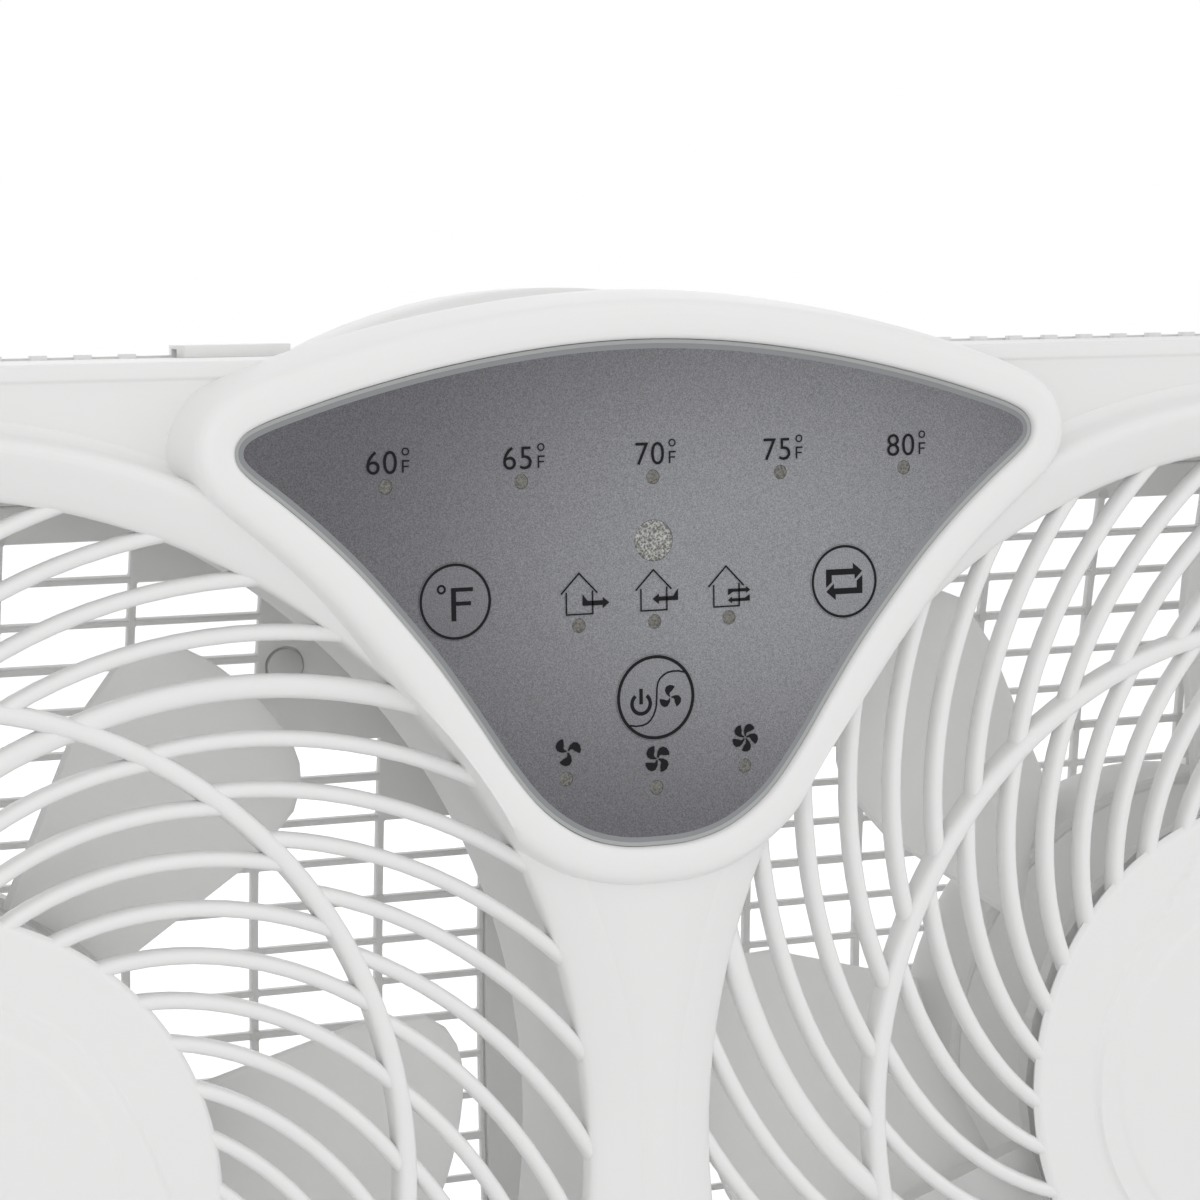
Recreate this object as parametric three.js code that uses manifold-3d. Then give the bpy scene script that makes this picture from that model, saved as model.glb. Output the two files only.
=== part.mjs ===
// Twin reversible window fan: console with thermostat lights, two impellers, two expanding side panels.
// Millimetres. X right, Y away from the viewer (front faces -Y), Z up, origin under the middle of the case.
import * as THREE from 'three';
import { mergeGeometries } from 'three/addons/utils/BufferGeometryUtils.js';
import Module from 'manifold-3d';

const wasm = await Module();
wasm.setup();

// ---- driving dimensions ----
const case_width = 604;
const case_height = 313;
const case_corner = 26;
const pad_height = 3.5;
const wall = 2.5;
const hub_spacing = 293;
const opening_radius = 133.5;
const ring_outer = 145;
const mid_ring_radius = 95.5;
const mid_ring_width = 3;
const cap_radius = 58.5;
const rib_width = 2.6;
const thick_rib_width = 4.2;
const inner_ribs = 36;
const outer_ribs = 42;
const inner_sweep = 31.5;            // degrees an inner rib turns between cap and middle ring
const outer_sweep = 27.8;            // degrees an outer rib turns between middle ring and opening
const thick_rib_angle = 70.2;        // where the first thick rib crosses the middle ring
const face_y = 11;                   // plane of the recessed front corners
const face_thick = 3;
const lip_back = 6;                  // back of the ring lip, where the grille seats
const split_y = 48;                  // joint between front and rear housing
const rear_y = 82;                   // furthest back point of the bowed rear
const rear_bow = 0.0011;             // bow of the rear: y = rear_y - rear_bow * z * z
const duct_gap = 2.5;                // duct radius beyond the opening radius
const duct_back = 46;
const fit = 0.2;                     // general clearance between pieces
const slide_fit = 0.4;               // clearance of sliding pieces

const grille_thick = 3;
const rear_pitch_x = 27;
const rear_pitch_z = 27;
const rear_bar = 3;
const rear_slat = 2.6;
const rear_thick = 3;
const band_half = 5.6;               // half width of the band between the two rear grilles
const window_height = 256;

const impeller_radius = 119;
const impeller_hub = 60;
const blade_count = 7;
const blade_front = 26;
const blade_depth = 31;
const blade_angle = 33;
const blade_thick = 2;
const hub_front = 38;
const hub_back = 62;
const motor_radius = 34;
const motor_front = 20;
const motor_back = 47;
const shaft_radius = 4;
const arm_width = 11;
const arm_depth = 5;

const overlay_thick = 1.5;
const bezel_front = -1.6;
const bezel_rim = 7.8;               // width of the raised rim round the overlay
const bezel_flare = 1.8;             // how much wider the rim is at its base
const ledge = 3;                     // ledge the overlay rests on
const board_y = 6.5;
const board_thick = 1.6;
const led_pitch = 27.5;
const led_radius = 1.5;
const window_radius = 4;
const key_radius = 7.4;
const power_key_radius = 8.4;
const key_gap = 0.2;
const key_travel = 0.5;
const console_row = 132.6;           // height of the temperature lights above the hub line
const row_window = 12.3;
const row_side_keys = 22.2;
const row_mode = 28.1;
const row_power = 42.9;
const row_speed = 57.6;
const row_speed_mid = 60.6;
const mode_pitch = 16;
const side_key_x = 41.4;
const speed_pitch = 19.1;

const expander_width = 127;
const expander_arm = 96;
const arm_height = 8.6;
const expander_thick = 3;
const tooth_pitch = 9;
const tooth_width = 3.2;
const tooth_proud = 1.2;             // how far the teeth stand above the case
const sheet_drop = 2;                // how far the expander's edge stays below the case's top
const expander_travel = 105;
const block_half = 78;               // half width of the guide block on top
const handle_half = 55;
const handle_rise = 12.8;
const handle_wall = 3;
const handle_depth = 14;
const lock_x = 182;                  // middle of the expander locks, moved to the nearest gap between teeth
const lock_travel = 2.6;
const lock_width = 12.5;
const lock_depth = 6;
const tab_thick = 2.5;
const post_inset = 16;               // corner posts, from the case edges
const post_radius = 6;
const boss_x = 52.4;                 // bosses on the rear grilles beside the middle band
const boss_z = 92;
const pocket_half = 42;
const pocket_depth = 26;

// ---- derived ----
const hub_x = hub_spacing / 2;
const half_w = case_width / 2;
const half_h = case_height / 2;
const hub_z = half_h + pad_height;
const duct_inner = opening_radius + duct_gap;
const expander_gap = slide_fit;
const rail_thick = 2.2;
const depth_front = bezel_front;
const depth_back = rear_y + expander_gap + expander_thick;
const mid_y = (depth_front + depth_back) / 2;
const rad = (d) => d * Math.PI / 180;

const group = new THREE.Group();
group.name = 'window_fan';

// ---- helpers ----
const ring_segs = 40;
const hub_segs = 28;
function toSolid(geo) {
  const pos = geo.attributes.position;
  const seen = new Map();
  const verts = [];
  const map = [];
  for (let i = 0; i < pos.count; i++) {
    const p = [pos.getX(i), pos.getY(i), pos.getZ(i)];
    const key = p.map((v) => Math.round(v * 1e4)).join('_');
    if (!seen.has(key)) {
      seen.set(key, verts.length / 3);
      verts.push(...p);
    }
    map.push(seen.get(key));
  }
  const src = geo.index ? Array.from(geo.index.array) : map.map((_, i) => i);
  const tris = [];
  for (let i = 0; i < src.length; i += 3) {
    const a = map[src[i]];
    const b = map[src[i + 1]];
    const c = map[src[i + 2]];
    if (a !== b && b !== c && a !== c) tris.push(a, b, c);
  }
  return new wasm.Manifold(new wasm.Mesh({
    numProp: 3, vertProperties: new Float32Array(verts), triVerts: new Uint32Array(tris),
  }));
}
function toGeo(solid) {
  const m = solid.getMesh();
  const g = new THREE.BufferGeometry();
  const v = new Float32Array(m.numVert * 3);
  for (let i = 0; i < m.numVert; i++) {
    for (let k = 0; k < 3; k++) v[i * 3 + k] = m.vertProperties[i * m.numProp + k];
  }
  g.setAttribute('position', new THREE.BufferAttribute(v, 3));
  g.setIndex(Array.from(m.triVerts));
  return g;
}
function add(name, geo, color, rough = 0.5, metal = 0) {
  const g = geo.index ? geo.toNonIndexed() : geo;
  g.translate(0, -mid_y, 0);
  g.computeVertexNormals();
  const mat = new THREE.MeshStandardMaterial({ color, roughness: rough, metalness: metal });
  mat.name = `${name}_material`;
  const mesh = new THREE.Mesh(g, mat);
  mesh.name = name;
  group.add(mesh);
}
const addSolid = (name, solid, color, rough, metal) => add(name, toGeo(solid), color, rough, metal);

// a shape drawn in X and Z (heights from the hub line) and extruded from y0 to y1
function plate(shape, y0, y1, curve = 12) {
  const g = new THREE.ExtrudeGeometry(shape, { depth: y1 - y0, bevelEnabled: false, curveSegments: curve });
  g.rotateX(Math.PI / 2);
  g.translate(0, y1, hub_z);
  return g;
}
// outlines always run counter-clockwise, so that holes are handled alike
function polygon(pts) {
  const v = pts.map((p) => new THREE.Vector2(p[0], p[1]));
  return new THREE.Shape(THREE.ShapeUtils.area(v) > 0 ? v : v.reverse());
}
function box(x0, x1, y0, y1, z0, z1) {
  const g = new THREE.BoxGeometry(x1 - x0, y1 - y0, z1 - z0);
  g.translate((x0 + x1) / 2, (y0 + y1) / 2, (z0 + z1) / 2 + hub_z);
  return g;
}
// a solid turned about a line parallel to Y; profile is a list of [radius, y]
function turned(profile, x, z, segs = 48) {
  const pts = profile.map((p) => new THREE.Vector2(p[0], p[1]));
  const g = new THREE.LatheGeometry(pts, segs);
  g.translate(x, 0, z + hub_z);
  return g;
}
const rod = (r, y0, y1, x, z, segs = 24) => turned([[0, y0], [r, y0], [r, y1], [0, y1]], x, z, segs);
function tube(ri, ro, y0, y1, x, z, segs = ring_segs) {
  return turned([[ri, y0], [ro, y0], [ro, y1], [ri, y1], [ri, y0]], x, z, segs);
}
function roundedRect(w, h, r, steps = 5) {
  const pts = [];
  const corners = [[w - r, h - r, 0], [-w + r, h - r, 90], [-w + r, -h + r, 180], [w - r, -h + r, 270]];
  for (const [cx, cz, a0] of corners) {
    for (let i = 0; i <= steps; i++) {
      const a = rad(a0 + 90 * i / steps);
      pts.push([cx + r * Math.cos(a), cz + r * Math.sin(a)]);
    }
  }
  return pts;
}
function union(list) {
  return list.map((g) => (g.isBufferGeometry ? toSolid(g) : g)).reduce((a, b) => a.add(b));
}
const cut = (a, list) => list.map(toSolid).reduce((s, b) => s.subtract(b), a);
// the bowed rear surface, taken as flat facets between these heights
const bow_step = 27;
const bow_levels = [-5, -4, -3, -2, -1, 0, 1, 2, 3, 4, 5].map((k) => k * bow_step);
const bowCurve = (z) => rear_y - rear_bow * z * z;
function rearAt(z) {
  const k = Math.max(-5, Math.min(4, Math.floor(z / bow_step)));
  const za = k * bow_step;
  const zb = za + bow_step;
  return bowCurve(za) + (bowCurve(zb) - bowCurve(za)) * (z - za) / bow_step;
}
// a slab that follows the bowed rear between heights z0 and z1, from depth front(z) to rearAt(z) + back
function bowedSlab(x0, x1, z0, z1, front, back) {
  const zs = [z0, ...bow_levels.filter((z) => z > z0 + 0.5 && z < z1 - 0.5), z1];
  const near = zs.map((z) => [front(z), z]);
  const far = zs.map((z) => [rearAt(z) + back, z]).reverse();
  const flat = near.every((p) => p[0] === near[0][0]);
  const pts = flat ? [near[0], near[near.length - 1], ...far] : [...near, ...far];
  const g = new THREE.ExtrudeGeometry(polygon(pts), { depth: x1 - x0, bevelEnabled: false });
  // the shape lies in Y and Z; its extrusion runs along X
  g.applyMatrix4(new THREE.Matrix4().set(0, 0, 1, x0, 1, 0, 0, 0, 0, 1, 0, hub_z, 0, 0, 0, 1));
  return toSolid(g);
}
const bowedSheet = (x0, x1, z0, z1, near, far) => bowedSlab(x0, x1, z0, z1, (z) => rearAt(z) + near, far);

// ---- console outline: the overlay edge, mirrored about the middle ----
const right_edge = [
  [0, 159.2], [15, 158.6], [30, 156.8], [45, 154.2], [60, 150.7], [72, 147.2], [79.5, 144.6],
  [83.2, 142.4], [84.2, 139.2], [81.5, 135], [75, 129.8], [67.5, 123.5], [60, 116],
  [52.5, 107.4], [45, 97.8], [38, 88.3], [31, 77.6], [24, 69.2], [15, 63], [7, 61], [0, 60.6],
];
function symmetric(edge) {
  const left = edge.slice(1, -1).map((p) => [-p[0], p[1]]);
  return [...edge].concat(left.reverse());
}
const overlay_outline = symmetric(right_edge);
// moves a closed outline outward by d (negative moves it inward)
function offset(pts, d) {
  const n = pts.length;
  let area = 0;
  for (let i = 0; i < n; i++) {
    const q = pts[(i + 1) % n];
    area += pts[i][0] * q[1] - q[0] * pts[i][1];
  }
  const s = area > 0 ? 1 : -1;
  return pts.map((p, i) => {
    const a = pts[(i + n - 1) % n];
    const b = pts[(i + 1) % n];
    const u = new THREE.Vector2(p[0] - a[0], p[1] - a[1]).normalize();
    const v = new THREE.Vector2(b[0] - p[0], b[1] - p[1]).normalize();
    const m = new THREE.Vector2(u.y + v.y, -u.x - v.x).normalize();
    const k = d * s / Math.max(0.5, m.x * u.y - m.y * u.x);
    return [p[0] + m.x * k, p[1] + m.y * k];
  });
}

// an inward offset folds over where the outline turns tightly: keep only points truly d inside
function inset(pts, d) {
  const n = pts.length;
  const clear = (q) => pts.every((p, i) => {
    const e = pts[(i + 1) % n];
    const dx = e[0] - p[0];
    const dz = e[1] - p[1];
    const t = Math.min(1, Math.max(0, ((q[0] - p[0]) * dx + (q[1] - p[1]) * dz) / (dx * dx + dz * dz)));
    return Math.hypot(q[0] - p[0] - t * dx, q[1] - p[1] - t * dz) > d - 0.03;
  });
  return offset(pts, -d).filter(clear);
}
// a closed solid through outlines with the same number of points; levels is a list of [y, outline]
function loft(levels) {
  const n = levels[0][1].length;
  const pos = [];
  for (const [y, pts] of levels) for (const p of pts) pos.push(p[0], y, p[1] + hub_z);
  const idx = [];
  for (let k = 0; k + 1 < levels.length; k++) {
    for (let i = 0; i < n; i++) {
      const a = k * n + i;
      const b = k * n + (i + 1) % n;
      idx.push(a, b, b + n, a, b + n, a + n);
    }
  }
  const flat = levels[0][1].map((p) => new THREE.Vector2(p[0], p[1]));
  const ccw = THREE.ShapeUtils.area(flat) > 0;
  const caps = THREE.ShapeUtils.triangulateShape(flat, []);
  const top = (levels.length - 1) * n;
  for (const t of caps) {
    idx.push(t[0], t[1], t[2]);
    idx.push(top + t[0], top + t[2], top + t[1]);
  }
  if (ccw) {
    for (let i = 0; i < idx.length; i += 3) [idx[i + 1], idx[i + 2]] = [idx[i + 2], idx[i + 1]];
  }
  const g = new THREE.BufferGeometry();
  g.setAttribute('position', new THREE.BufferAttribute(new Float32Array(pos), 3));
  g.setIndex(idx);
  return g;
}
// the outer body of the console rim, grown by extra and carried forward to y0
function bezelBlock(extra, y0 = bezel_front) {
  return toSolid(loft([
    [y0, offset(overlay_outline, bezel_rim - 1.4 + extra)],
    [bezel_front + 0.01, offset(overlay_outline, bezel_rim - 1.4 + extra)],
    [bezel_front + 1.8, offset(overlay_outline, bezel_rim + extra)],
    [face_y, offset(overlay_outline, bezel_rim + bezel_flare + extra)],
  ]));
}

// ---- where the expanders run behind the case, and where their teeth and locks are ----
const case_back = rearAt(half_h);
const sheet_near = expander_gap;
const sheet_far = expander_gap + expander_thick;
const sheet_top = half_h - sheet_drop;
const expander_outer = half_w - 2;
const arm_start = expander_outer - expander_width - expander_arm;
const tooth_count = Math.round((lock_x - arm_start - (tooth_pitch + tooth_width) / 2) / tooth_pitch);
const lock_mid = arm_start + tooth_count * tooth_pitch + (tooth_pitch + tooth_width) / 2;
const tooth_front = rearAt(sheet_top) + sheet_near + 0.3;
const tooth_back = rearAt(sheet_top) + sheet_far - 0.6;
const leg_half = 1.15;               // half width of a lock's leg
const leg_depth = 2.6;
const lock_back = case_back - fit;
const foot_back = tooth_front - 2 * slide_fit - lock_travel;
const handle_front = split_y + fit;
const handle_back = handle_front + handle_depth;

// ---- housings ----
const posts = [];
for (const sx of [-1, 1]) {
  for (const sz of [-1, 1]) posts.push([sx * (half_w - post_inset), sz * (half_h - post_inset)]);
}
const outer_outline = roundedRect(half_w, half_h, case_corner);
const inner_outline = roundedRect(half_w - wall, half_h - wall, case_corner - wall);
const ring_profile = [
  [opening_radius, lip_back], [opening_radius, 3.6], [opening_radius + 2.6, 1], [ring_outer - 3.6, 1.2],
  [ring_outer, 5.5], [ring_outer, face_y + 1], [duct_inner, face_y + 1], [duct_inner, lip_back],
  [opening_radius, lip_back],
];
function spine(sign) {
  return polygon([[-70, sign * 112], [70, sign * 112], [40, sign * 60], [13, 0], [-13, 0], [-40, sign * 60]]);
}
{
  const shell = toSolid(plate(polygon(outer_outline), face_y, split_y))
    .subtract(toSolid(plate(polygon(inner_outline), face_y + face_thick, split_y + 1)));
  let body = shell;
  for (const sign of [1, -1]) body = body.add(toSolid(plate(spine(sign), 4, face_y + 1)));
  const ducts = [];
  for (const x of [-hub_x, hub_x]) {
    body = body.subtract(toSolid(rod(duct_inner, -5, 60, x, 0, ring_segs)));
    ducts.push(toSolid(tube(duct_inner, duct_inner + wall, face_y + 1, duct_back, x, 0)));
    ducts.push(toSolid(turned(ring_profile, x, 0, ring_segs)));
  }
  body = ducts.reduce((a, b) => a.add(b), body);
  for (const x of [-hub_x, hub_x]) {
    body = body.subtract(toSolid(rod(opening_radius, -5, lip_back, x, 0, ring_segs)));
    body = body.subtract(toSolid(rod(duct_inner, lip_back, 60, x, 0, ring_segs)));
  }
  for (const [x, z] of posts) body = body.add(toSolid(rod(post_radius, face_y + 1, split_y, x, z, 8)));
  addSolid('front_housing', body.subtract(bezelBlock(fit / 2, -6)), 0xf2f2f0, 0.45);
}
const grille_x0 = band_half;
const columns = 10;
const grille_x1 = grille_x0 + columns * rear_pitch_x + rear_bar;
const pocket_y = 50;
const screw_radius = 1.8;
const screw_head = 3.6;
const screw_seat = split_y + 4;
{
  const rim = toSolid(plate(polygon(outer_outline), split_y, rear_y + 5));
  const hollow = toSolid(plate(polygon(inner_outline), split_y - 1, rear_y + 5));
  const full = bowedSlab(-half_w, half_w, -half_h, half_h, () => split_y, 0).intersect(rim);
  const inside = bowedSlab(-half_w, half_w, -half_h, half_h, () => split_y - 1, -rear_thick).intersect(hollow);
  const tub = toSolid(box(-pocket_half - wall, pocket_half + wall, split_y, rear_y,
    half_h - pocket_depth - wall, half_h + 1)).intersect(full);
  const cuts = [box(-pocket_half, pocket_half, pocket_y, rear_y + 9, half_h - pocket_depth, half_h + 9)];
  for (const [x, z] of posts) {
    cuts.push(rod(screw_radius + 0.2, split_y - 1, rear_y, x, z, 8));
    cuts.push(rod(screw_head + 0.4, screw_seat, rear_y + 5, x, z, 8));
  }
  for (const s of [-1, 1]) {
    const x0 = s > 0 ? grille_x0 : -grille_x1;
    cuts.push(box(x0, x0 + grille_x1 - grille_x0, 51, rear_y + 9, -window_height / 2, window_height / 2));
    cuts.push(box(s * lock_mid - leg_half - slide_fit, s * lock_mid + leg_half + slide_fit,
      lock_back - leg_depth - slide_fit, rear_y, half_h - wall - 0.5, half_h + 1));
  }
  const stands = posts.map(([x, z]) => toSolid(rod(post_radius, split_y, rear_y, x, z, 8)).intersect(full));
  let body = full.subtract(inside).add(tub);
  for (const p of stands) body = body.add(p);
  addSolid('rear_housing', cut(body, cuts), 0xf0f0ee, 0.5);
}

// ---- front grilles: spiral ribs between cap, middle ring and opening ----
function ringPoint(x, r, deg) {
  return new THREE.Vector2(x + r * Math.cos(rad(deg)), r * Math.sin(rad(deg)));
}
// one gap between neighbouring ribs, from radius r0 to r1; the ribs turn clockwise going out
function ribGap(x, r0, r1, a0, a1, sweep, w0, w1, steps) {
  const pts = [];
  for (let i = 0; i <= steps; i++) {
    const t = i / steps;
    const r = r0 + (r1 - r0) * t;
    const slope = Math.hypot(1, r * rad(sweep) / (r1 - r0));
    pts.push(ringPoint(x, r, a0 - sweep * t - (w0 / 2) * slope / r * 180 / Math.PI));
  }
  for (let i = steps; i >= 0; i--) {
    const t = i / steps;
    const r = r0 + (r1 - r0) * t;
    const slope = Math.hypot(1, r * rad(sweep) / (r1 - r0));
    pts.push(ringPoint(x, r, a1 - sweep * t + (w1 / 2) * slope / r * 180 / Math.PI));
  }
  return new THREE.Path(pts.reverse());
}
const rim_outer = duct_inner - 0.5;
function frontGrille(x) {
  const shape = new THREE.Shape();
  shape.absarc(x, 0, rim_outer, 0, 2 * Math.PI, false);
  const thickIn = inner_ribs / 3;
  const thickOut = outer_ribs / 3;
  const r_in = mid_ring_radius - mid_ring_width / 2;
  const r_out = mid_ring_radius + mid_ring_width / 2;
  const width = (i, every) => (i % every === 0 ? thick_rib_width : rib_width);
  for (let i = 0; i < inner_ribs; i++) {
    const a = thick_rib_angle + inner_sweep - i * 360 / inner_ribs;
    shape.holes.push(ribGap(x, cap_radius, r_in, a, a - 360 / inner_ribs, inner_sweep,
      width(i, thickIn), width(i + 1, thickIn), 2));
  }
  for (let i = 0; i < outer_ribs; i++) {
    const a = thick_rib_angle - i * 360 / outer_ribs;
    shape.holes.push(ribGap(x, r_out, opening_radius + 0.2, a, a - 360 / outer_ribs, outer_sweep,
      width(i, thickOut), width(i + 1, thickOut), 2));
  }
  return plate(shape, lip_back, lip_back + grille_thick, 24);
}
add('front_grille_left', frontGrille(-hub_x), 0xf4f4f2, 0.45);
add('front_grille_right', frontGrille(hub_x), 0xf4f4f2, 0.45);

function cap(x) {
  return turned([
    [0, 2.2], [37, 2.4], [39.5, 3.2], [54.5, 3.4], [cap_radius, lip_back - 1], [cap_radius, lip_back],
    [0, lip_back],
  ], x, 0, 32);
}
add('grille_cap_left', cap(-hub_x), 0xf4f4f2, 0.45);
add('grille_cap_right', cap(hub_x), 0xf4f4f2, 0.45);

// ---- rear grilles: a bowed plate with rectangular cells inside the circle of the duct ----
function rearGrille(s) {
  const h = window_height / 2 - fit;
  const ends = [s * (grille_x0 + fit), s * (grille_x1 - fit)].sort((a, b) => a - b);
  const cells = [];
  for (let c = 0; c < columns; c++) {
    const xa = grille_x0 + rear_bar + c * rear_pitch_x;
    const xb = xa + rear_pitch_x - rear_bar;
    const mid = (xa + xb) / 2 - hub_x;
    for (let k = -5; k < 5; k++) {
      const za = Math.max(k * rear_pitch_z + rear_slat / 2, -h + rear_bar);
      const zb = Math.min((k + 1) * rear_pitch_z - rear_slat / 2, h - rear_bar);
      const far = Math.max(Math.abs(za), Math.abs(zb));
      if (Math.hypot(mid, far) > duct_inner - 1 || zb - za < rear_bar) continue;
      cells.push(box(Math.min(s * xa, s * xb), Math.max(s * xa, s * xb), 40, rear_y + 5, za, zb));
    }
  }
  let body = bowedSheet(ends[0], ends[1], -h, h, -rear_thick, 0).subtract(toSolid(mergeGeometries(cells)));
  for (const z of [-boss_z, boss_z]) body = body.add(toSolid(rod(4.3, 60, rearAt(z) - 1, s * boss_x, z, 10)));
  return body;
}
addSolid('rear_grille_left', rearGrille(-1), 0xeeeeec, 0.5);
addSolid('rear_grille_right', rearGrille(1), 0xeeeeec, 0.5);

// ---- console ----
{
  let body = bezelBlock(0);
  body = body.subtract(toSolid(plate(polygon(overlay_outline), -9, overlay_thick)));
  body = body.subtract(toSolid(plate(polygon(inset(overlay_outline, ledge)), -9, board_y + 1)));
  body = body.subtract(toSolid(plate(polygon(inset(overlay_outline, 1.5)), board_y, face_y + 5)));
  for (const x of [-hub_x, hub_x]) {
    body = body.subtract(toSolid(rod(opening_radius, -5, face_y + 5, x, 0, ring_segs)));
    body = body.subtract(toSolid(rod(duct_inner, lip_back, face_y + 5, x, 0, ring_segs)));
  }
  addSolid('console_bezel', body, 0xf6f6f4, 0.4);
}
const z_leds = console_row;
const lights = [];
for (let i = -2; i <= 2; i++) lights.push([i * led_pitch, z_leds]);
for (const i of [-1, 0, 1]) lights.push([i * mode_pitch, console_row - row_mode]);
lights.push([-speed_pitch, console_row - row_speed], [0, console_row - row_speed_mid],
  [speed_pitch, console_row - row_speed]);
const keys = [
  ['button_temperature', -side_key_x, console_row - row_side_keys, key_radius],
  ['button_mode', side_key_x, console_row - row_side_keys, key_radius],
  ['button_power', 0, console_row - row_power, power_key_radius],
];
function circlePath(x, z, r, steps) {
  const pts = [];
  const start = 5.3 + 0.41 * x;
  for (let i = 0; i < steps; i++) {
    pts.push(ringPoint(x, r, start - i * 360 / steps).add(new THREE.Vector2(0, z)));
  }
  return new THREE.Path(pts);
}
{
  const sheet = polygon(inset(overlay_outline, fit));
  for (const [x, z] of lights) sheet.holes.push(circlePath(x, z, led_radius + 0.2, 8));
  sheet.holes.push(circlePath(0, console_row - row_window, window_radius + 0.2, 12));
  for (const [, x, z, r] of keys) sheet.holes.push(circlePath(x, z, r + key_gap + 0.1, 20));
  add('control_overlay', plate(sheet, 0, overlay_thick), 0x7d8085, 0.55);

  const guide = polygon(inset(overlay_outline, ledge + fit));
  for (const [, x, z] of keys) guide.holes.push(circlePath(x, z, 4, 8));
  const pegs = lights.map(([x, z]) => rod(led_radius, 0.1, overlay_thick + 0.5, x, z, 8));
  // wells that the keys sink into
  const wells = keys.map(([, x, z, r]) => rod(r + key_gap + 0.1, overlay_thick - 1,
    overlay_thick + key_travel + 0.1, x, z, 20));
  const guide_body = union([plate(guide, overlay_thick, overlay_thick + 1), ...pegs]);
  addSolid('light_guide', cut(guide_body, wells), 0xd8dcde, 0.2);
  add('ir_window', rod(window_radius, 0, overlay_thick, 0, console_row - row_window, 12), 0xb9bdbf, 0.15);
  add('ir_receiver', box(-3.5, 3.5, overlay_thick + 1.2, board_y,
    console_row - row_window - 4, console_row - row_window + 4), 0x2a2a2c, 0.4);
  add('control_board', plate(polygon(inset(overlay_outline, 1.5 + fit)), board_y, board_y + board_thick),
    0x2f6b3c, 0.5);
  const stem = 2.4;
  const switch_y = overlay_thick + 2;
  for (const [name, x, z, r] of keys) {
    const segs = 20;
    add(name, turned([[0, 0], [r, 0], [r, overlay_thick], [stem, overlay_thick], [stem, switch_y - key_travel - 0.1],
      [0, switch_y - key_travel - 0.1]], x, z, segs), 0x84878b, 0.5);
    add(name.replace('button', 'switch'), box(x - 3, x + 3, switch_y, board_y, z - 3, z + 3), 0x3a3a3c, 0.4);
  }
  add('temperature_sensor', rod(1.6, board_y + board_thick, board_y + board_thick + 2, 58, console_row - 6, 8),
    0x1f1f20, 0.4);
}

// ---- motors, brackets and impellers ----
function bracket(s) {
  const x = s * hub_x;
  const parts = [rod(56, lip_back + grille_thick + 4.6, motor_front - 3, x, 0, 24),
    rod(24, lip_back + grille_thick, motor_front, x, 0, 16)];
  for (const a of [198, 318, 78]) {
    const ang = s > 0 ? a : 180 - a;
    const len = duct_inner - 0.6;
    const arm = box(20, len - 1, motor_front - 6, motor_front - 6 + arm_depth, -arm_width / 2, arm_width / 2);
    arm.translate(0, 0, -hub_z);
    arm.rotateY(-rad(ang));
    arm.translate(x, 0, hub_z);
    parts.push(arm);
  }
  return union(parts);
}
function motor(x) {
  return turned([[0, motor_front], [22, motor_front], [motor_radius, motor_front + 3],
    [motor_radius, motor_back - 4], [20, motor_back - 1], [9, motor_back - 1], [9, motor_back], [0, motor_back]],
    x, 0, 20);
}
// one blade about the Y axis: a plate that slopes back from its front edge, with a rounded tip
function blade(deg) {
  const nu = 4;
  const nv = 2;
  const pos = [];
  const idx = [];
  for (const side of [0, 1]) {
    for (let i = 0; i <= nu; i++) {
      const u = i / nu;
      const round = Math.sqrt(1 - Math.pow(Math.abs(2 * u - 1), 4));
      const tip = 97 + (impeller_radius - 97) * round;
      for (let j = 0; j <= nv; j++) {
        const r = impeller_hub - 1.2 + (tip - impeller_hub + 1.2) * j / nv;
        const p = ringPoint(0, r, deg - blade_angle * u);
        pos.push(p.x, blade_front + blade_depth * u + side * blade_thick, p.y);
      }
    }
  }
  const w = nv + 1;
  const half = (nu + 1) * w;
  const quad = (a, b, c, d) => idx.push(a, c, b, a, d, c);
  for (let i = 0; i < nu; i++) {
    for (let j = 0; j < nv; j++) {
      const a = i * w + j;
      quad(a, a + 1, a + w + 1, a + w);
      quad(half + a, half + a + w, half + a + w + 1, half + a + 1);
    }
    const r0 = i * w;
    quad(r0, r0 + w, half + r0 + w, half + r0);
    const r1 = i * w + nv;
    quad(r1, half + r1, half + r1 + w, r1 + w);
  }
  for (let j = 0; j < nv; j++) {
    quad(j, half + j, half + j + 1, j + 1);
    const e = nu * w + j;
    quad(e, e + 1, half + e + 1, half + e);
  }
  const g = new THREE.BufferGeometry();
  g.setAttribute('position', new THREE.BufferAttribute(new Float32Array(pos), 3));
  g.setIndex(idx);
  return g;
}
const root_lead = 6;                 // first blade root ahead of a corner of the hub
function impeller(x, first) {
  const cup = turned([
    [shaft_radius + 0.05, motor_back + 1], [9, motor_back + 1], [9, hub_back - 2.5], [impeller_hub - 2.5, hub_back - 2.5],
    [impeller_hub - 2.5, hub_front], [impeller_hub, hub_front], [impeller_hub, hub_back - 1.5],
    [impeller_hub - 1.5, hub_back], [shaft_radius + 0.05, hub_back], [shaft_radius + 0.05, motor_back + 1],
  ], 0, -hub_z, hub_segs);
  let body = toSolid(cup);
  for (let i = 0; i < blade_count; i++) body = body.add(toSolid(blade(root_lead - i * 360 / blade_count)));
  return body.rotate([0, root_lead - first, 0]).translate([x, 0, hub_z]);
}
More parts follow.
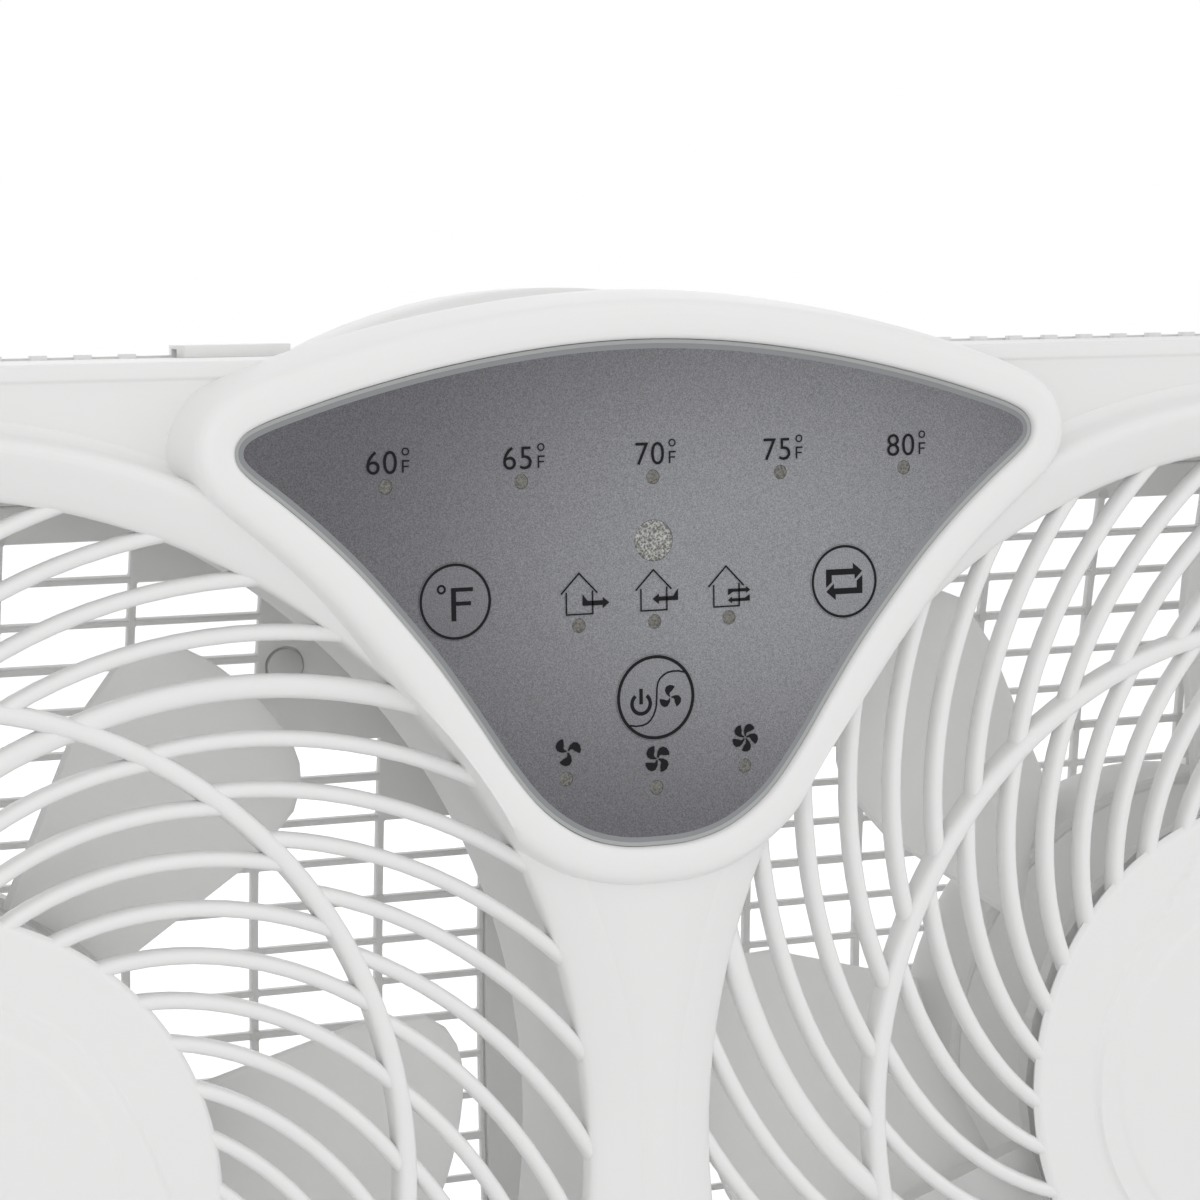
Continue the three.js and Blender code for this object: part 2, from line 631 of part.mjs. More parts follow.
for (const [side, s, first] of [['left', -1, 66.5], ['right', 1, 146.6]]) {
  const x = s * hub_x;
  addSolid(`motor_bracket_${side}`, bracket(s), 0xe8e8e6, 0.5);
  add(`motor_${side}`, motor(x), 0x9a9ea3, 0.35, 0.6);
  addSolid(`impeller_${side}`, impeller(x, first), 0xf0f0ee, 0.4);
  add(`motor_shaft_${side}`, rod(shaft_radius, motor_back + fit, hub_back + 6, x, 0, hub_segs), 0xb8bcc0, 0.25, 1);
  add(`impeller_nut_${side}`, tube(shaft_radius + 0.05, 9, hub_back, hub_back + 5, x, 0, hub_segs), 0xd8d8d6, 0.5);
}

// ---- power board behind the console ----
addSolid('power_board', union([
  box(-34, 34, face_y + face_thick + 6, face_y + face_thick + 7.6, 102, 142),
  ...[[-30, 106], [30, 106], [-30, 138], [30, 138]].map(([x, z]) => rod(3, face_y + face_thick,
    face_y + face_thick + 6.5, x, z, 10)),
]), 0x2f6b3c, 0.5);
add('run_capacitor', box(-19, 19, face_y + face_thick + 7.6, face_y + face_thick + 23, 112, 134), 0x2b2c30, 0.4);

// ---- screws that join the housings at the corner posts ----
posts.forEach(([x, z], i) => {
  add(`case_screw_${i + 1}`, turned([[0, split_y + 0.4], [screw_radius, split_y + 0.4], [screw_radius, screw_seat],
    [screw_head, screw_seat], [screw_head, screw_seat + 2], [0, screw_seat + 2]], x, z, 8), 0xb5b8bb, 0.3, 1);
});

// ---- expanders, their rails and locks ----
function expander(s) {
  const xo = expander_outer;
  const xi = xo - expander_width;
  const xr = (a, b) => [Math.min(s * a, s * b), Math.max(s * a, s * b)];
  const top = sheet_top;
  const [p0, p1] = xr(xi, xo);
  let body = bowedSheet(p0, p1, -top, top, sheet_near, sheet_far);
  const cells = [];
  for (let k = -5; k < 5; k++) {
    const [a, b] = xr(xi + 6, xo - 6);
    cells.push(box(a, b, 40, rear_y + 9, k * bow_step + 3, (k + 1) * bow_step - 3));
  }
  body = body.subtract(toSolid(mergeGeometries(cells)));
  for (const v of [-1, 1]) {
    const [a, b] = xr(xi - expander_arm, xi + 1);
    const z0 = v > 0 ? top - arm_height : -top;
    body = body.add(bowedSheet(a, b, z0, z0 + arm_height, sheet_near, sheet_far));
  }
  const teeth = [];
  for (let k = 1; k <= tooth_count + 1; k++) {
    const [a, b] = xr(arm_start + k * tooth_pitch, arm_start + k * tooth_pitch + tooth_width);
    teeth.push(box(a, b, tooth_front, tooth_back, top - 0.6, half_h + tooth_proud));
  }
  return body.add(toSolid(mergeGeometries(teeth)));
}
const rail_near = sheet_far + slide_fit;
const rail_far = rail_near + rail_thick;
const cover_high = 2.4;
// a lip behind the expander arms, held by covers that bridge over them; v is 1 on top, -1 below
function rail(v, x0, x1, covers) {
  const z_in = half_h - arm_height - 1;
  const z_out = half_h + 0.4;
  const zs = v > 0 ? [z_in, z_out] : [-z_out, -z_in];
  const body = bowedSheet(x0, x1, zs[0], zs[1], rail_near, rail_far);
  const z0 = v > 0 ? half_h : -half_h - cover_high;
  const list = covers.map(([a, b]) => box(a, b, 51, case_back + rail_far - 0.5, z0, z0 + cover_high));
  const slot = box(x0 - 1, x1 + 1, case_back + 0.2, tooth_back + 0.3, half_h - 1, half_h + tooth_proud + slide_fit);
  const bridges = toSolid(mergeGeometries(list));
  return body.add(v > 0 ? bridges.subtract(toSolid(slot)) : bridges);
}
const rail_end = half_w - 3;
const rail_start = handle_half + 1;
const end_cover = 14;
// a slider on top of the case: pushed back by lock_travel, its leg stands between two teeth
function lock(s) {
  const across = (half) => [s * lock_mid - half, s * lock_mid + half];
  const y0 = lock_back - lock_depth;
  return union([
    box(...across(lock_width / 2), y0, foot_back, half_h + 0.15, half_h + 3),
    box(...across(lock_width / 2), y0, lock_back, half_h + tooth_proud + slide_fit, half_h + 3),
    box(...across(lock_width / 2), y0, y0 + tab_thick, half_h + 1, half_h + 5.5),
    box(...across(leg_half), lock_back - leg_depth, lock_back, sheet_top + 0.3, half_h + 2),
  ]);
}
for (const [side, s] of [['left', -1], ['right', 1]]) addSolid(`expander_${side}`, expander(s), 0xf0f0ee, 0.5);

for (const [side, s] of [['left', -1], ['right', 1]]) {
  const span = (a, b) => [s * a, s * b].sort((p, q) => p - q);
  const beside_lock = lock_mid + lock_width / 2;
  const covers = [[rail_start, block_half], [beside_lock + 0.3, beside_lock + 10], [rail_end - end_cover, rail_end]];
  addSolid(`rail_top_${side}`, rail(1, ...span(rail_start, rail_end), covers.map((c) => span(...c))), 0xf0f0ee, 0.5);
  addSolid(`expander_lock_${side}`, lock(s), 0xe4e4e2, 0.45);
}
addSolid('rail_bottom', rail(-1, -rail_end, rail_end, [
  [-rail_end, -rail_end + end_cover], [-block_half + 10, block_half - 10], [rail_end - end_cover, rail_end],
]), 0xf0f0ee, 0.5);

// ---- carrying handle: an arched lip open to the rear, above the finger pocket ----
function arch(half, rise, z0, steps) {
  const r = (half * half + rise * rise) / (2 * rise);
  const pts = [];
  for (let i = 0; i <= steps; i++) {
    const x = half - 2 * half * i / steps;
    pts.push([x, z0 + Math.sqrt(r * r - x * x) - r + rise]);
  }
  return pts;
}
{
  const outer = toSolid(plate(polygon(arch(handle_half, handle_rise, half_h, 16)), handle_front, handle_back));
  const under = arch(pocket_half, handle_rise - handle_wall - 2, half_h + 1.6, 12);
  const hollow = toSolid(plate(polygon([...under, [-pocket_half, half_h - 3], [pocket_half, half_h - 3]]),
    pocket_y, handle_back + 5));
  addSolid('carry_handle', outer.subtract(hollow), 0xf2f2f0, 0.45);
}

// ---- pads the fan stands on ----
for (const [side, s] of [['left', -1], ['right', 1]]) {
  add(`base_pad_${side}`, box(Math.min(s * 130, s * 250), Math.max(s * 130, s * 250), face_y + 3, split_y + 4,
    -half_h - pad_height, -half_h), 0x9fa3a8, 0.8);
}

export default group;
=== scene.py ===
"""Looks of a twin window fan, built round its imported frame.

Lengths in the pieces' tables are millimetres: x from the middle, y back from the console film, z up from the
line through both hubs. at() turns them into Blender's metres.
"""

import math

import bmesh
import bpy
from bpy.props import FloatProperty, FloatVectorProperty, IntProperty, PointerProperty
from mathutils import Matrix, Vector


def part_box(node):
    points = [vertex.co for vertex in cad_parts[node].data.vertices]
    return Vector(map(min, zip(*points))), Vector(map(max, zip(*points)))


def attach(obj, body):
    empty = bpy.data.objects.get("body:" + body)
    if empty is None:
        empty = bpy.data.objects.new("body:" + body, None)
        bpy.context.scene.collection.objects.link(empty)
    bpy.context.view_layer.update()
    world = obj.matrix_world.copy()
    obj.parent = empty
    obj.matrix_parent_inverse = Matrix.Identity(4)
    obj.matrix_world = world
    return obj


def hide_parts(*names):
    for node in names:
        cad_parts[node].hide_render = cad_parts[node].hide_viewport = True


bl_info = {
    "name": "Twin Window Fan",
    "version": (1, 0, 0),
    "blender": (4, 5, 0),
    "location": "View3D > Sidebar > Window Fan",
    "description": "Builds the visible pieces of a twin window fan round its frame",
    "category": "Object",
}

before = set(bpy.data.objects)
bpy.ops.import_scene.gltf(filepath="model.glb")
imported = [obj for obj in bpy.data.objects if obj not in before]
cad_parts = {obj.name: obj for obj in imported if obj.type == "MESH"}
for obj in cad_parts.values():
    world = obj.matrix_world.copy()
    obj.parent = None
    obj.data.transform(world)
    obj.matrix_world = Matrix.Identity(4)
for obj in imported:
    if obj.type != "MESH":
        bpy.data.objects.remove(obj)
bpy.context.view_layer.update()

MM = 0.001
SIDES = (("left", -1), ("right", 1))
film_low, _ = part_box("control_overlay")
grille_low, grille_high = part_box("front_grille_right")
FRONT = film_low.y
HUB_X = (grille_low.x + grille_high.x) / 2 / MM
HUB_Z = (grille_low.z + grille_high.z) / 2
case_low, case_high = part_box("front_housing")
HALF_W = case_high.x / MM
HALF_H = (case_high.z - case_low.z) / 2 / MM
SPLIT = (case_high.y - FRONT) / MM

# console outline: right half of the film's edge, from the middle of the top to the middle of the bottom
FILM_EDGE = (
    (0, 159.2), (15, 158.6), (30, 156.9), (45, 154.3), (60, 150.8), (72, 147.3), (79.5, 144.7), (83.2, 142.4),
    (84.3, 139.2), (82.4, 135.8), (75, 129.8), (67.5, 123.3), (60, 115.9), (52.5, 107.3), (45, 98), (38, 88),
    (31, 77.6), (24, 69.2), (16, 63.6), (8, 61.1), (0, 60.6),
)
ROW_Z = 132.6                       # height of the temperature lights
LIGHT_PITCH = 27.5
LIGHTS = [(i * LIGHT_PITCH, ROW_Z) for i in range(-2, 3)]
LIGHTS += [(-16, 104.5), (0, 104.5), (16, 104.5), (-19.1, 75.0), (0, 72.0), (19.1, 75.0)]
WINDOW = (0, 120.3)
KEYS = (("temperature", -41.4, 110.4, 7.4), ("mode", 41.4, 110.4, 7.4), ("power", 0, 89.7, 8.4))

OPENING = 133.5                     # radius of a fan opening
MID_RING = 95.5
CAP = 58.5
INNER_RIBS = 36
OUTER_RIBS = 42
THICK_ANGLE = 70.2                  # where the first thick rib crosses the middle ring, in degrees
INNER_SWEEP = 31.5
OUTER_SWEEP = 27.8
BLADES = 7
BLADE_ANGLE = 33
BLADE_LEAD = {"left": 66.5, "right": 146.6}
REAR_Y = 82.0
REAR_BOW = 0.0011
REAR_PITCH = 27.75


def at(x, y, z):
    """A place in millimetres as a point in metres."""
    return Vector((x * MM, FRONT + y * MM, HUB_Z + z * MM))


def polar(x, radius, degrees):
    """The x and z of a point at that radius and angle round the hub at x."""
    return x + radius * math.cos(math.radians(degrees)), radius * math.sin(math.radians(degrees))


def ease(value, start, end):
    """0 before start, 1 after end and smooth between them."""
    t = min(1.0, max(0.0, (value - start) / (end - start)))
    return t * t * (3 - 2 * t)


def bow(z):
    """Depth of the bowed rear at height z."""
    return REAR_Y - REAR_BOW * z * z


# ---- materials ----


class Wire:
    """A socket of a material. Arithmetic on it adds Math nodes."""

    def __init__(self, tree, socket):
        self.tree = tree
        self.socket = socket

    def math(self, operation, *values):
        node = self.tree.nodes.new("ShaderNodeMath")
        node.operation = operation
        for socket, value in zip(node.inputs, values):
            if isinstance(value, Wire):
                self.tree.links.new(value.socket, socket)
            else:
                socket.default_value = value
        return Wire(self.tree, node.outputs[0])

    def __add__(self, other):
        return self.math("ADD", self, other)

    def __radd__(self, other):
        return self.math("ADD", other, self)

    def __sub__(self, other):
        return self.math("SUBTRACT", self, other)

    def __rsub__(self, other):
        return self.math("SUBTRACT", other, self)

    def __mul__(self, other):
        return self.math("MULTIPLY", self, other)

    def __rmul__(self, other):
        return self.math("MULTIPLY", other, self)

    def over(self, limit):
        return self.math("GREATER_THAN", self, limit)


class Paint:
    """A Principled material under construction."""

    def __init__(self, name):
        self.material = bpy.data.materials.new(name)
        self.material.use_nodes = True
        self.tree = self.material.node_tree
        self.shader = self.tree.nodes["Principled BSDF"]
        self.place = self.add("ShaderNodeTexCoord", out="Object")

    def add(self, kind, out=0, settings=(), **sockets):
        """Adds a node, sets its settings, then its sockets, and returns one output."""
        node = self.tree.nodes.new(kind)
        for name, value in dict(settings).items():
            setattr(node, name, value)
        for name, value in sockets.items():
            socket = node.inputs[name.replace("_", " ")]
            if isinstance(value, Wire):
                self.tree.links.new(value.socket, socket)
            else:
                socket.default_value = value
        return Wire(self.tree, node.outputs[out])

    def noise(self, scale, detail=2.0, out="Fac"):
        return self.add("ShaderNodeTexNoise", out=out, Vector=self.place, Scale=scale, Detail=detail)

    def blend(self, factor, first, second):
        """Mixes two colours."""
        node = self.tree.nodes.new("ShaderNodeMix")
        node.data_type = "RGBA"
        for index, value in ((0, factor), (6, first), (7, second)):
            if isinstance(value, Wire):
                self.tree.links.new(value.socket, node.inputs[index])
            else:
                node.inputs[index].default_value = value
        return Wire(self.tree, node.outputs[2])

    def bump(self, height, distance, strength=1.0):
        normal = self.add("ShaderNodeBump", Height=height, Distance=distance, Strength=strength)
        self.tree.links.new(normal.socket, self.shader.inputs["Normal"])

    def set(self, **sockets):
        """Feeds the shader's sockets."""
        for name, value in sockets.items():
            socket = self.shader.inputs[name.replace("_", " ")]
            if isinstance(value, Wire):
                self.tree.links.new(value.socket, socket)
            else:
                socket.default_value = value
        return self


    def thin(self, share, color):
        """Lets some light through, as a thin white moulding does."""
        glow = self.add("ShaderNodeBsdfTranslucent", Color=color)
        mix = self.tree.nodes.new("ShaderNodeMixShader")
        mix.inputs[0].default_value = share
        self.tree.links.new(self.shader.outputs[0], mix.inputs[1])
        self.tree.links.new(glow.socket, mix.inputs[2])
        self.tree.links.new(mix.outputs[0], self.tree.nodes["Material Output"].inputs["Surface"])


def shade(color, factor):
    """A colour with an alpha of 1, made lighter or darker."""
    return tuple(min(1.0, c * factor) for c in color[:3]) + (1.0,)


def moulded(name, color, rough, grain=900.0, depth=0.00001, drift=0.03, sheen=0.5, thin=0.0):
    """Moulded plastic: a slow drift of tone, an uneven gloss and a fine grain."""
    paint = Paint(name)
    paint.set(Specular_IOR_Level=sheen)
    tone = paint.noise(14.0, 3.0)
    fine = paint.noise(grain, 2.0)
    paint.set(
        Base_Color=paint.blend(tone, shade(color, 1 - drift), shade(color, 1 + drift * 0.5)),
        Roughness=paint.noise(40.0, 3.0) * 0.12 + fine * 0.06 + (rough - 0.09),
    )
    paint.bump(fine, depth, 0.5)
    if thin:
        paint.thin(thin, shade(color, 1.03))
    return paint.material


def film_paint(name, corner, middle):
    """The console film: painted lighter in its middle as a pool of light, with a fine leathery grain."""
    paint = Paint(name)
    # centre and stretch of the pool of light painted into the film's middle
    centre, stretch = at(24, 0, 116), (1.0, 1.0, 1.55)
    offset = paint.add("ShaderNodeMapping", settings={"vector_type": "POINT"}, Vector=paint.place,
                       Location=tuple(-c * s for c, s in zip(centre, stretch)), Scale=stretch)
    reach = paint.add("ShaderNodeVectorMath", out="Value", settings={"operation": "LENGTH"})
    paint.tree.links.new(offset.socket, reach.socket.node.inputs[0])
    painted_light_spread = paint.add("ShaderNodeMapRange", settings={"interpolation_type": "SMOOTHSTEP"}, Value=reach,
                       **{"From_Min": 0.012, "From_Max": 0.105, "To_Min": 0.0, "To_Max": 1.0})
    grain = paint.noise(4300.0, 2.0)
    # painted light: the lit grey of the middle fades out to the corners' grey
    base = paint.blend(painted_light_spread, middle, corner)
    speckle = (grain - 0.5) * 2.2 + 0.5
    tone = paint.blend(speckle, (0.0, 0.0, 0.0, 1.0), (1.0, 1.0, 1.0, 1.0))
    mixed = paint.add("ShaderNodeMix", out=2, settings={"data_type": "RGBA", "blend_type": "SOFT_LIGHT"})
    node = mixed.socket.node
    node.inputs[0].default_value = 0.5
    paint.tree.links.new(base.socket, node.inputs[6])
    paint.tree.links.new(tone.socket, node.inputs[7])
    paint.set(Base_Color=mixed, Roughness=grain * 0.2 + 0.45)
    paint.bump(grain, 0.00006, 0.8)
    return paint.material


def speckled(name, dark, light, rough, start=0.4):
    """A clear window seen against a rough backing: dark and bright flecks."""
    paint = Paint(name)
    flecks = paint.add("ShaderNodeTexVoronoi", out="Distance", Vector=paint.place, Scale=2600.0)
    cloud = paint.noise(1900.0, 4.0)
    mask = paint.add("ShaderNodeMapRange", Value=cloud * 0.75 + flecks * 0.4,
                     **{"From_Min": start, "From_Max": start + 0.3, "To_Min": 0.0, "To_Max": 1.0})
    paint.set(
        Base_Color=paint.blend(mask, dark, light),
        Roughness=cloud * 0.3 + rough,
        Specular_IOR_Level=0.3,
    )
    paint.bump(cloud, 0.00008, 0.7)
    return paint.material


def metal(name, color, rough, stretch=(1.0, 1.0, 1.0)):
    """Turned or plated metal with fine lines."""
    paint = Paint(name)
    lines = paint.add("ShaderNodeMapping", Vector=paint.place, Scale=stretch)
    scratch = paint.add("ShaderNodeTexNoise", Vector=lines, Scale=700.0, Detail=4.0)
    paint.set(Base_Color=paint.blend(paint.noise(60.0), shade(color, 0.9), shade(color, 1.06)), Metallic=1.0,
              Roughness=scratch * 0.2 + (rough - 0.1))
    paint.bump(scratch, 0.00001, 0.4)
    return paint.material


def build_materials(looks):
    """Every finish of the fan by name."""
    white, impeller, corner, middle = (tuple(color) + (1.0,) for color in (
        looks.case_color, looks.impeller_lit_color, looks.film_corner, looks.film_lit_middle))
    return {
        "case": moulded("satin_white_case", white, 0.46),
        "rim": moulded("smooth_white_rim", shade(white, 1.01), 0.4, grain=600.0, depth=0.000006, drift=0.02),
        "grille": moulded("white_grille_moulding", shade(white, 1.005), 0.4, grain=500.0, depth=0.000008),
        # painted light: the rear pieces take the case's white made 8% lighter, standing in for light inside
        # the fan
        "rear": moulded("thin_rear_moulding_painted_light", shade(white, 1.08), 0.42, grain=500.0, depth=0.000008,
                        thin=0.2),
        # painted light: the impellers' white is lighter than the case's, standing in for light reaching them
        # inside the fan
        "impeller": moulded("impeller_moulding_painted_light", impeller, 0.38, grain=300.0, drift=0.02, thin=0.5),
        "film": film_paint("grained_grey_film_painted_light", corner, middle),
        "film_edge": moulded("frosted_film_edge", (0.39, 0.4, 0.395), 0.5, grain=2200.0, depth=0.00002),
        "film_margin": moulded("frosted_film_margin", (0.245, 0.255, 0.265), 0.5, grain=2200.0,
                               depth=0.00003),
        "print": moulded("dark_print", (0.008, 0.008, 0.01), 0.6, grain=2600.0, depth=0.00001, sheen=0.15),
        "lens": speckled("frosted_light_window", (0.08, 0.078, 0.07, 1), (0.2, 0.195, 0.18, 1), 0.4),
        "window": speckled("receiver_window", (0.12, 0.12, 0.113, 1), (0.5, 0.5, 0.48, 1), 0.3, 0.46),
        "black": moulded("black_component", (0.03, 0.03, 0.032), 0.45),
        "board": moulded("green_board", (0.03, 0.16, 0.06), 0.4, grain=1500.0),
        "steel": metal("plated_steel", (0.62, 0.62, 0.63), 0.32),
        "motor": metal("turned_motor_case", (0.5, 0.5, 0.52), 0.4, stretch=(1.0, 12.0, 1.0)),
        "pad": moulded("grey_pad", (0.28, 0.285, 0.29), 0.8, grain=700.0, depth=0.00004),
    }


PAINTS = {}

# ---- modelling ----


def only(*objects):
    """Leaves edit mode and selects just these objects."""
    if bpy.context.mode != "OBJECT":
        bpy.ops.object.mode_set(mode="OBJECT")
    bpy.ops.object.select_all(action="DESELECT")
    for item in objects:
        item.select_set(True)
        bpy.context.view_layer.objects.active = item


def edit(item):
    """Enters edit mode on one object with all of it selected."""
    only(item)
    bpy.ops.object.mode_set(mode="EDIT")
    bpy.ops.mesh.select_all(action="SELECT")


def primitive(name, kind, **settings):
    """Adds a primitive and enters edit mode with it selected."""
    only()
    getattr(bpy.ops.mesh, f"primitive_{kind}_add")(**settings)
    item = bpy.context.object
    item.name = item.data.name = name
    bpy.ops.object.mode_set(mode="EDIT")
    bpy.ops.mesh.select_mode(type="VERT")
    bpy.ops.mesh.select_all(action="SELECT")
    return item


def pick(test, kind="FACE"):
    """In edit mode, selects just the faces, edges or vertices that pass the test."""
    bpy.ops.mesh.select_mode(type=kind)
    bpy.ops.mesh.select_all(action="DESELECT")
    mesh = bpy.context.edit_object.data
    shape = bmesh.from_edit_mesh(mesh)
    for element in {"FACE": shape.faces, "EDGE": shape.edges, "VERT": shape.verts}[kind]:
        if test(element):
            element.select_set(True)
    bmesh.update_edit_mesh(mesh)


def send(move):
    """In edit mode, moves each selected vertex to where move sends it."""
    mesh = bpy.context.edit_object.data
    for vertex in bmesh.from_edit_mesh(mesh).verts:
        if vertex.select:
            vertex.co = move(vertex.co.copy())
    bmesh.update_edit_mesh(mesh)


def outward():
    """In edit mode, merges doubles and points every face outwards."""
    bpy.ops.mesh.select_all(action="SELECT")
    bpy.ops.mesh.remove_doubles(threshold=0.000002)
    bpy.ops.mesh.normals_make_consistent(inside=False)


def modify(item, kind, **settings):
    """Adds a modifier and applies it."""
    only(item)
    bpy.ops.object.modifier_add(type=kind)
    modifier = item.modifiers[-1]
    for name, value in settings.items():
        setattr(modifier, name, value)
    bpy.ops.object.modifier_apply(modifier=modifier.name)


def bevel(item, width, segments=2, angle=30):
    """Rounds the edges sharper than the angle."""
    modify(item, "BEVEL", width=width * MM, segments=segments, limit_method="ANGLE",
           angle_limit=math.radians(angle),
           use_clamp_overlap=True)


def subtract(item, cutter):
    """Cuts the cutter out of the item and removes the cutter."""
    modify(item, "BOOLEAN", operation="DIFFERENCE", object=cutter, solver="EXACT")
    bpy.data.objects.remove(cutter)


def join(name, items):
    """Makes one object of several."""
    only(*items)
    bpy.ops.object.join()
    bpy.context.object.name = name
    return bpy.context.object


def complete(item, body, paint, replaces=(), angle=30):
    """Applies the item's place, smooths it, paints it and lets it ride on its body."""
    only(item)
    bpy.ops.object.transform_apply(location=True, rotation=True, scale=True)
    bpy.ops.object.shade_smooth_by_angle(angle=math.radians(angle))
    if paint:
        item.data.materials.clear()
        item.data.materials.append(PAINTS[paint])
    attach(item, body)
    if replaces:
        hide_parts(*replaces)
    return item


def chain(points):
    """In edit mode, draws a string of edges through the points by extruding one vertex."""
    bpy.ops.mesh.merge(type="CENTER")
    send(lambda place: points[0])
    for before, after in zip(points, points[1:]):
        bpy.ops.mesh.extrude_vertices_move(TRANSFORM_OT_translate={"value": after - before})


def spun(name, profile, x, steps):
    """A profile of (radius, depth) turned round the hub line at x."""
    item = primitive(name, "plane", size=MM)
    chain([at(x + radius, depth, 0) for radius, depth in profile])
    bpy.ops.mesh.select_all(action="SELECT")
    bpy.ops.mesh.spin(steps=steps, angle=2 * math.pi, center=at(x, 0, 0), axis=(0, 1, 0))
    outward()
    return item


def lofted(name, rows, closed=False):
    """A skin through rows of points; closed joins the last row to the first, else both ends are filled."""
    item = primitive(name, "circle", vertices=len(rows[0]), radius=MM)
    mesh = item.data
    for index, vertex in enumerate(bmesh.from_edit_mesh(mesh).verts):
        vertex.co = rows[0][index]
    bmesh.update_edit_mesh(mesh)
    if not closed:
        bpy.ops.mesh.edge_face_add()
        bpy.ops.mesh.select_all(action="SELECT")
        pick(lambda edge: True, "EDGE")
    for before, after in zip(rows, rows[1:]):
        bpy.ops.mesh.extrude_edges_move(TRANSFORM_OT_translate={"value": (0, 0, 0)})
        match = {tuple(round(c, 6) for c in point): new for point, new in zip(before, after)}
        send(lambda place: match[tuple(round(c, 6) for c in place)])
    if closed:
        pick(lambda edge: len(edge.link_faces) == 1, "EDGE")
        bpy.ops.mesh.bridge_edge_loops()
    else:
        bpy.ops.mesh.edge_face_add()
    outward()
    return item


def cylinder(name, radius, x, z, front, back, vertices=96):
    """A disc or post parallel to the hub line."""
    item = primitive(name, "cylinder", vertices=vertices, radius=radius * MM, depth=(back - front) * MM,
                     location=at(x, (front + back) / 2, z), rotation=(math.pi / 2, 0, 0))
    only(item)
    bpy.ops.object.transform_apply(location=True, rotation=True, scale=True)
    return item


def softened(name, node, width, segments=2, shape=None):
    """A copy of a CAD node with its doubles merged, reshaped if asked, and its edges rounded."""
    item = bpy.data.objects.new(name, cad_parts[node].data.copy())
    bpy.context.scene.collection.objects.link(item)
    edit(item)
    bpy.ops.mesh.remove_doubles(threshold=0.000002)
    bpy.ops.mesh.dissolve_limited(angle_limit=math.radians(1))
    if shape:
        bpy.ops.mesh.select_all(action="SELECT")
        send(shape)
    only(item)
    if width:
        bevel(item, width, segments)
    return item


def curve_through(points, steps):
    """A smooth closed line through the points."""
    count = len(points)
    line = []
    for i in range(count):
        p0, p1, p2, p3 = (Vector(points[(i + k) % count]) for k in (-1, 0, 1, 2))
        for k in range(steps):
            t = k / steps
            line.append(0.5 * (2 * p1 + (p2 - p0) * t + (2 * p0 - 5 * p1 + 4 * p2 - p3) * t * t
                               + (3 * p1 - p0 - 3 * p2 + p3) * t ** 3))
    return line


def film_outline(steps=4):
    """The film's whole edge in x and z."""
    mirrored = [(-x, z) for x, z in FILM_EDGE[-2:0:-1]]
    return curve_through(list(FILM_EDGE) + mirrored, steps)


def grown(points, distance):
    """A closed clockwise outline moved outward."""
    count = len(points)
    moved = []
    for i, point in enumerate(points):
        along = (points[(i + 1) % count] - points[i - 1]).normalized()
        moved.append(point + Vector((-along.y, along.x)) * distance)
    return moved


def flat(points, depth):
    """An outline in x and z at one depth, in metres."""
    return [at(p[0], depth, p[1]) for p in points]


# ---- flat print ----

PRINT_FRONT = -0.06
PRINT_THICK = 0.05


def ribbon(points, width, closed=False):
    """The outlines of a line of this width: one for an open line, two for a closed one."""
    points = [Vector(p) for p in points]
    count = len(points)
    left, right = [], []
    for i, point in enumerate(points):
        before = points[i - 1] if i or closed else point
        after = points[(i + 1) % count] if i + 1 < count or closed else point
        a = (point - before).normalized() if before != point else (after - point).normalized()
        b = (after - point).normalized() if after != point else a
        normal = Vector((-a.y - b.y, a.x + b.x)).normalized()
        reach = width / 2 / max(0.4, normal.dot(Vector((-a.y, a.x))))
        left.append(point + normal * reach)
        right.append(point - normal * reach)
    if closed:
        return [left, right]
    return [left + right[::-1]]


def arc(x, z, radius, start, end, steps=24):
    """Points on an arc, angles in degrees."""
    return [Vector((x + radius * math.cos(math.radians(start + (end - start) * i / steps)),
                    z + radius * math.sin(math.radians(start + (end - start) * i / steps))))
            for i in range(steps + 1)]


def ring(x, z, radius, width, steps=64):
    """A printed circle of this outer radius."""
    outer = arc(x, z, radius, 0, 360, steps)[:-1]
    inner = arc(x, z, radius - width, 0, 360, steps)[:-1]
    return [outer, inner]


def moved(points, x, z, flip=1):
    """An outline moved to x and z; flip=-1 turns it half a turn first."""
    return [Vector((x + flip * p[0], z + flip * p[1])) for p in points]


def arrow(x0, z0, x1, rise, width, head):
    """An arrow from x0 to its tip at x1, with a wedge at its tail that rises or falls."""
    way = 1 if x1 > x0 else -1
    lift = 1 if rise > 0 else -1
    neck, half = x1 - way * head * 1.3, width / 2 * lift
    return [[Vector(p) for p in (
        (x0, z0 + rise), (x0 + way * 1.05, z0 + half), (neck, z0 + half), (neck, z0 + head * lift), (x1, z0),
        (neck, z0 - head * lift), (neck, z0 - half), (x0, z0 - half))]]


def house(x, z):
    """The outline of a house: roof, walls and floor."""
    roof = ribbon([(x - 3.8, z + 4.0), (x, z + 7.9), (x + 3.8, z + 4.0)], 0.3)
    walls = ribbon([(x - 2.7, z + 4.3), (x - 2.7, z), (x + 2.8, z), (x + 2.8, z + 4.5)], 0.28)
    return [roof, walls]


# one blade of a fan icon: share of the radius, and the angle from the start of the blade
ICON_BLADE = (
    (0.1, 25), (0.45, 14), (0.75, 2), (0.94, -14), (1.0, -32), (0.98, -50), (0.92, -62), (0.54, -52),
    (0.4, -32),
    (0.24, -18), (0.1, -40),
)


def swirl(x, z, radius, blades, turn):
    """A fan of fat blades that curl clockwise."""
    shapes = []
    for k in range(blades):
        start = turn + 360 * k / blades
        squeeze = 1.0 if blades < 5 else 0.82
        outline = [polar(0, radius * r, start + squeeze * a) for r, a in ICON_BLADE]
        shapes.append([moved(outline, x, z)])
    return shapes


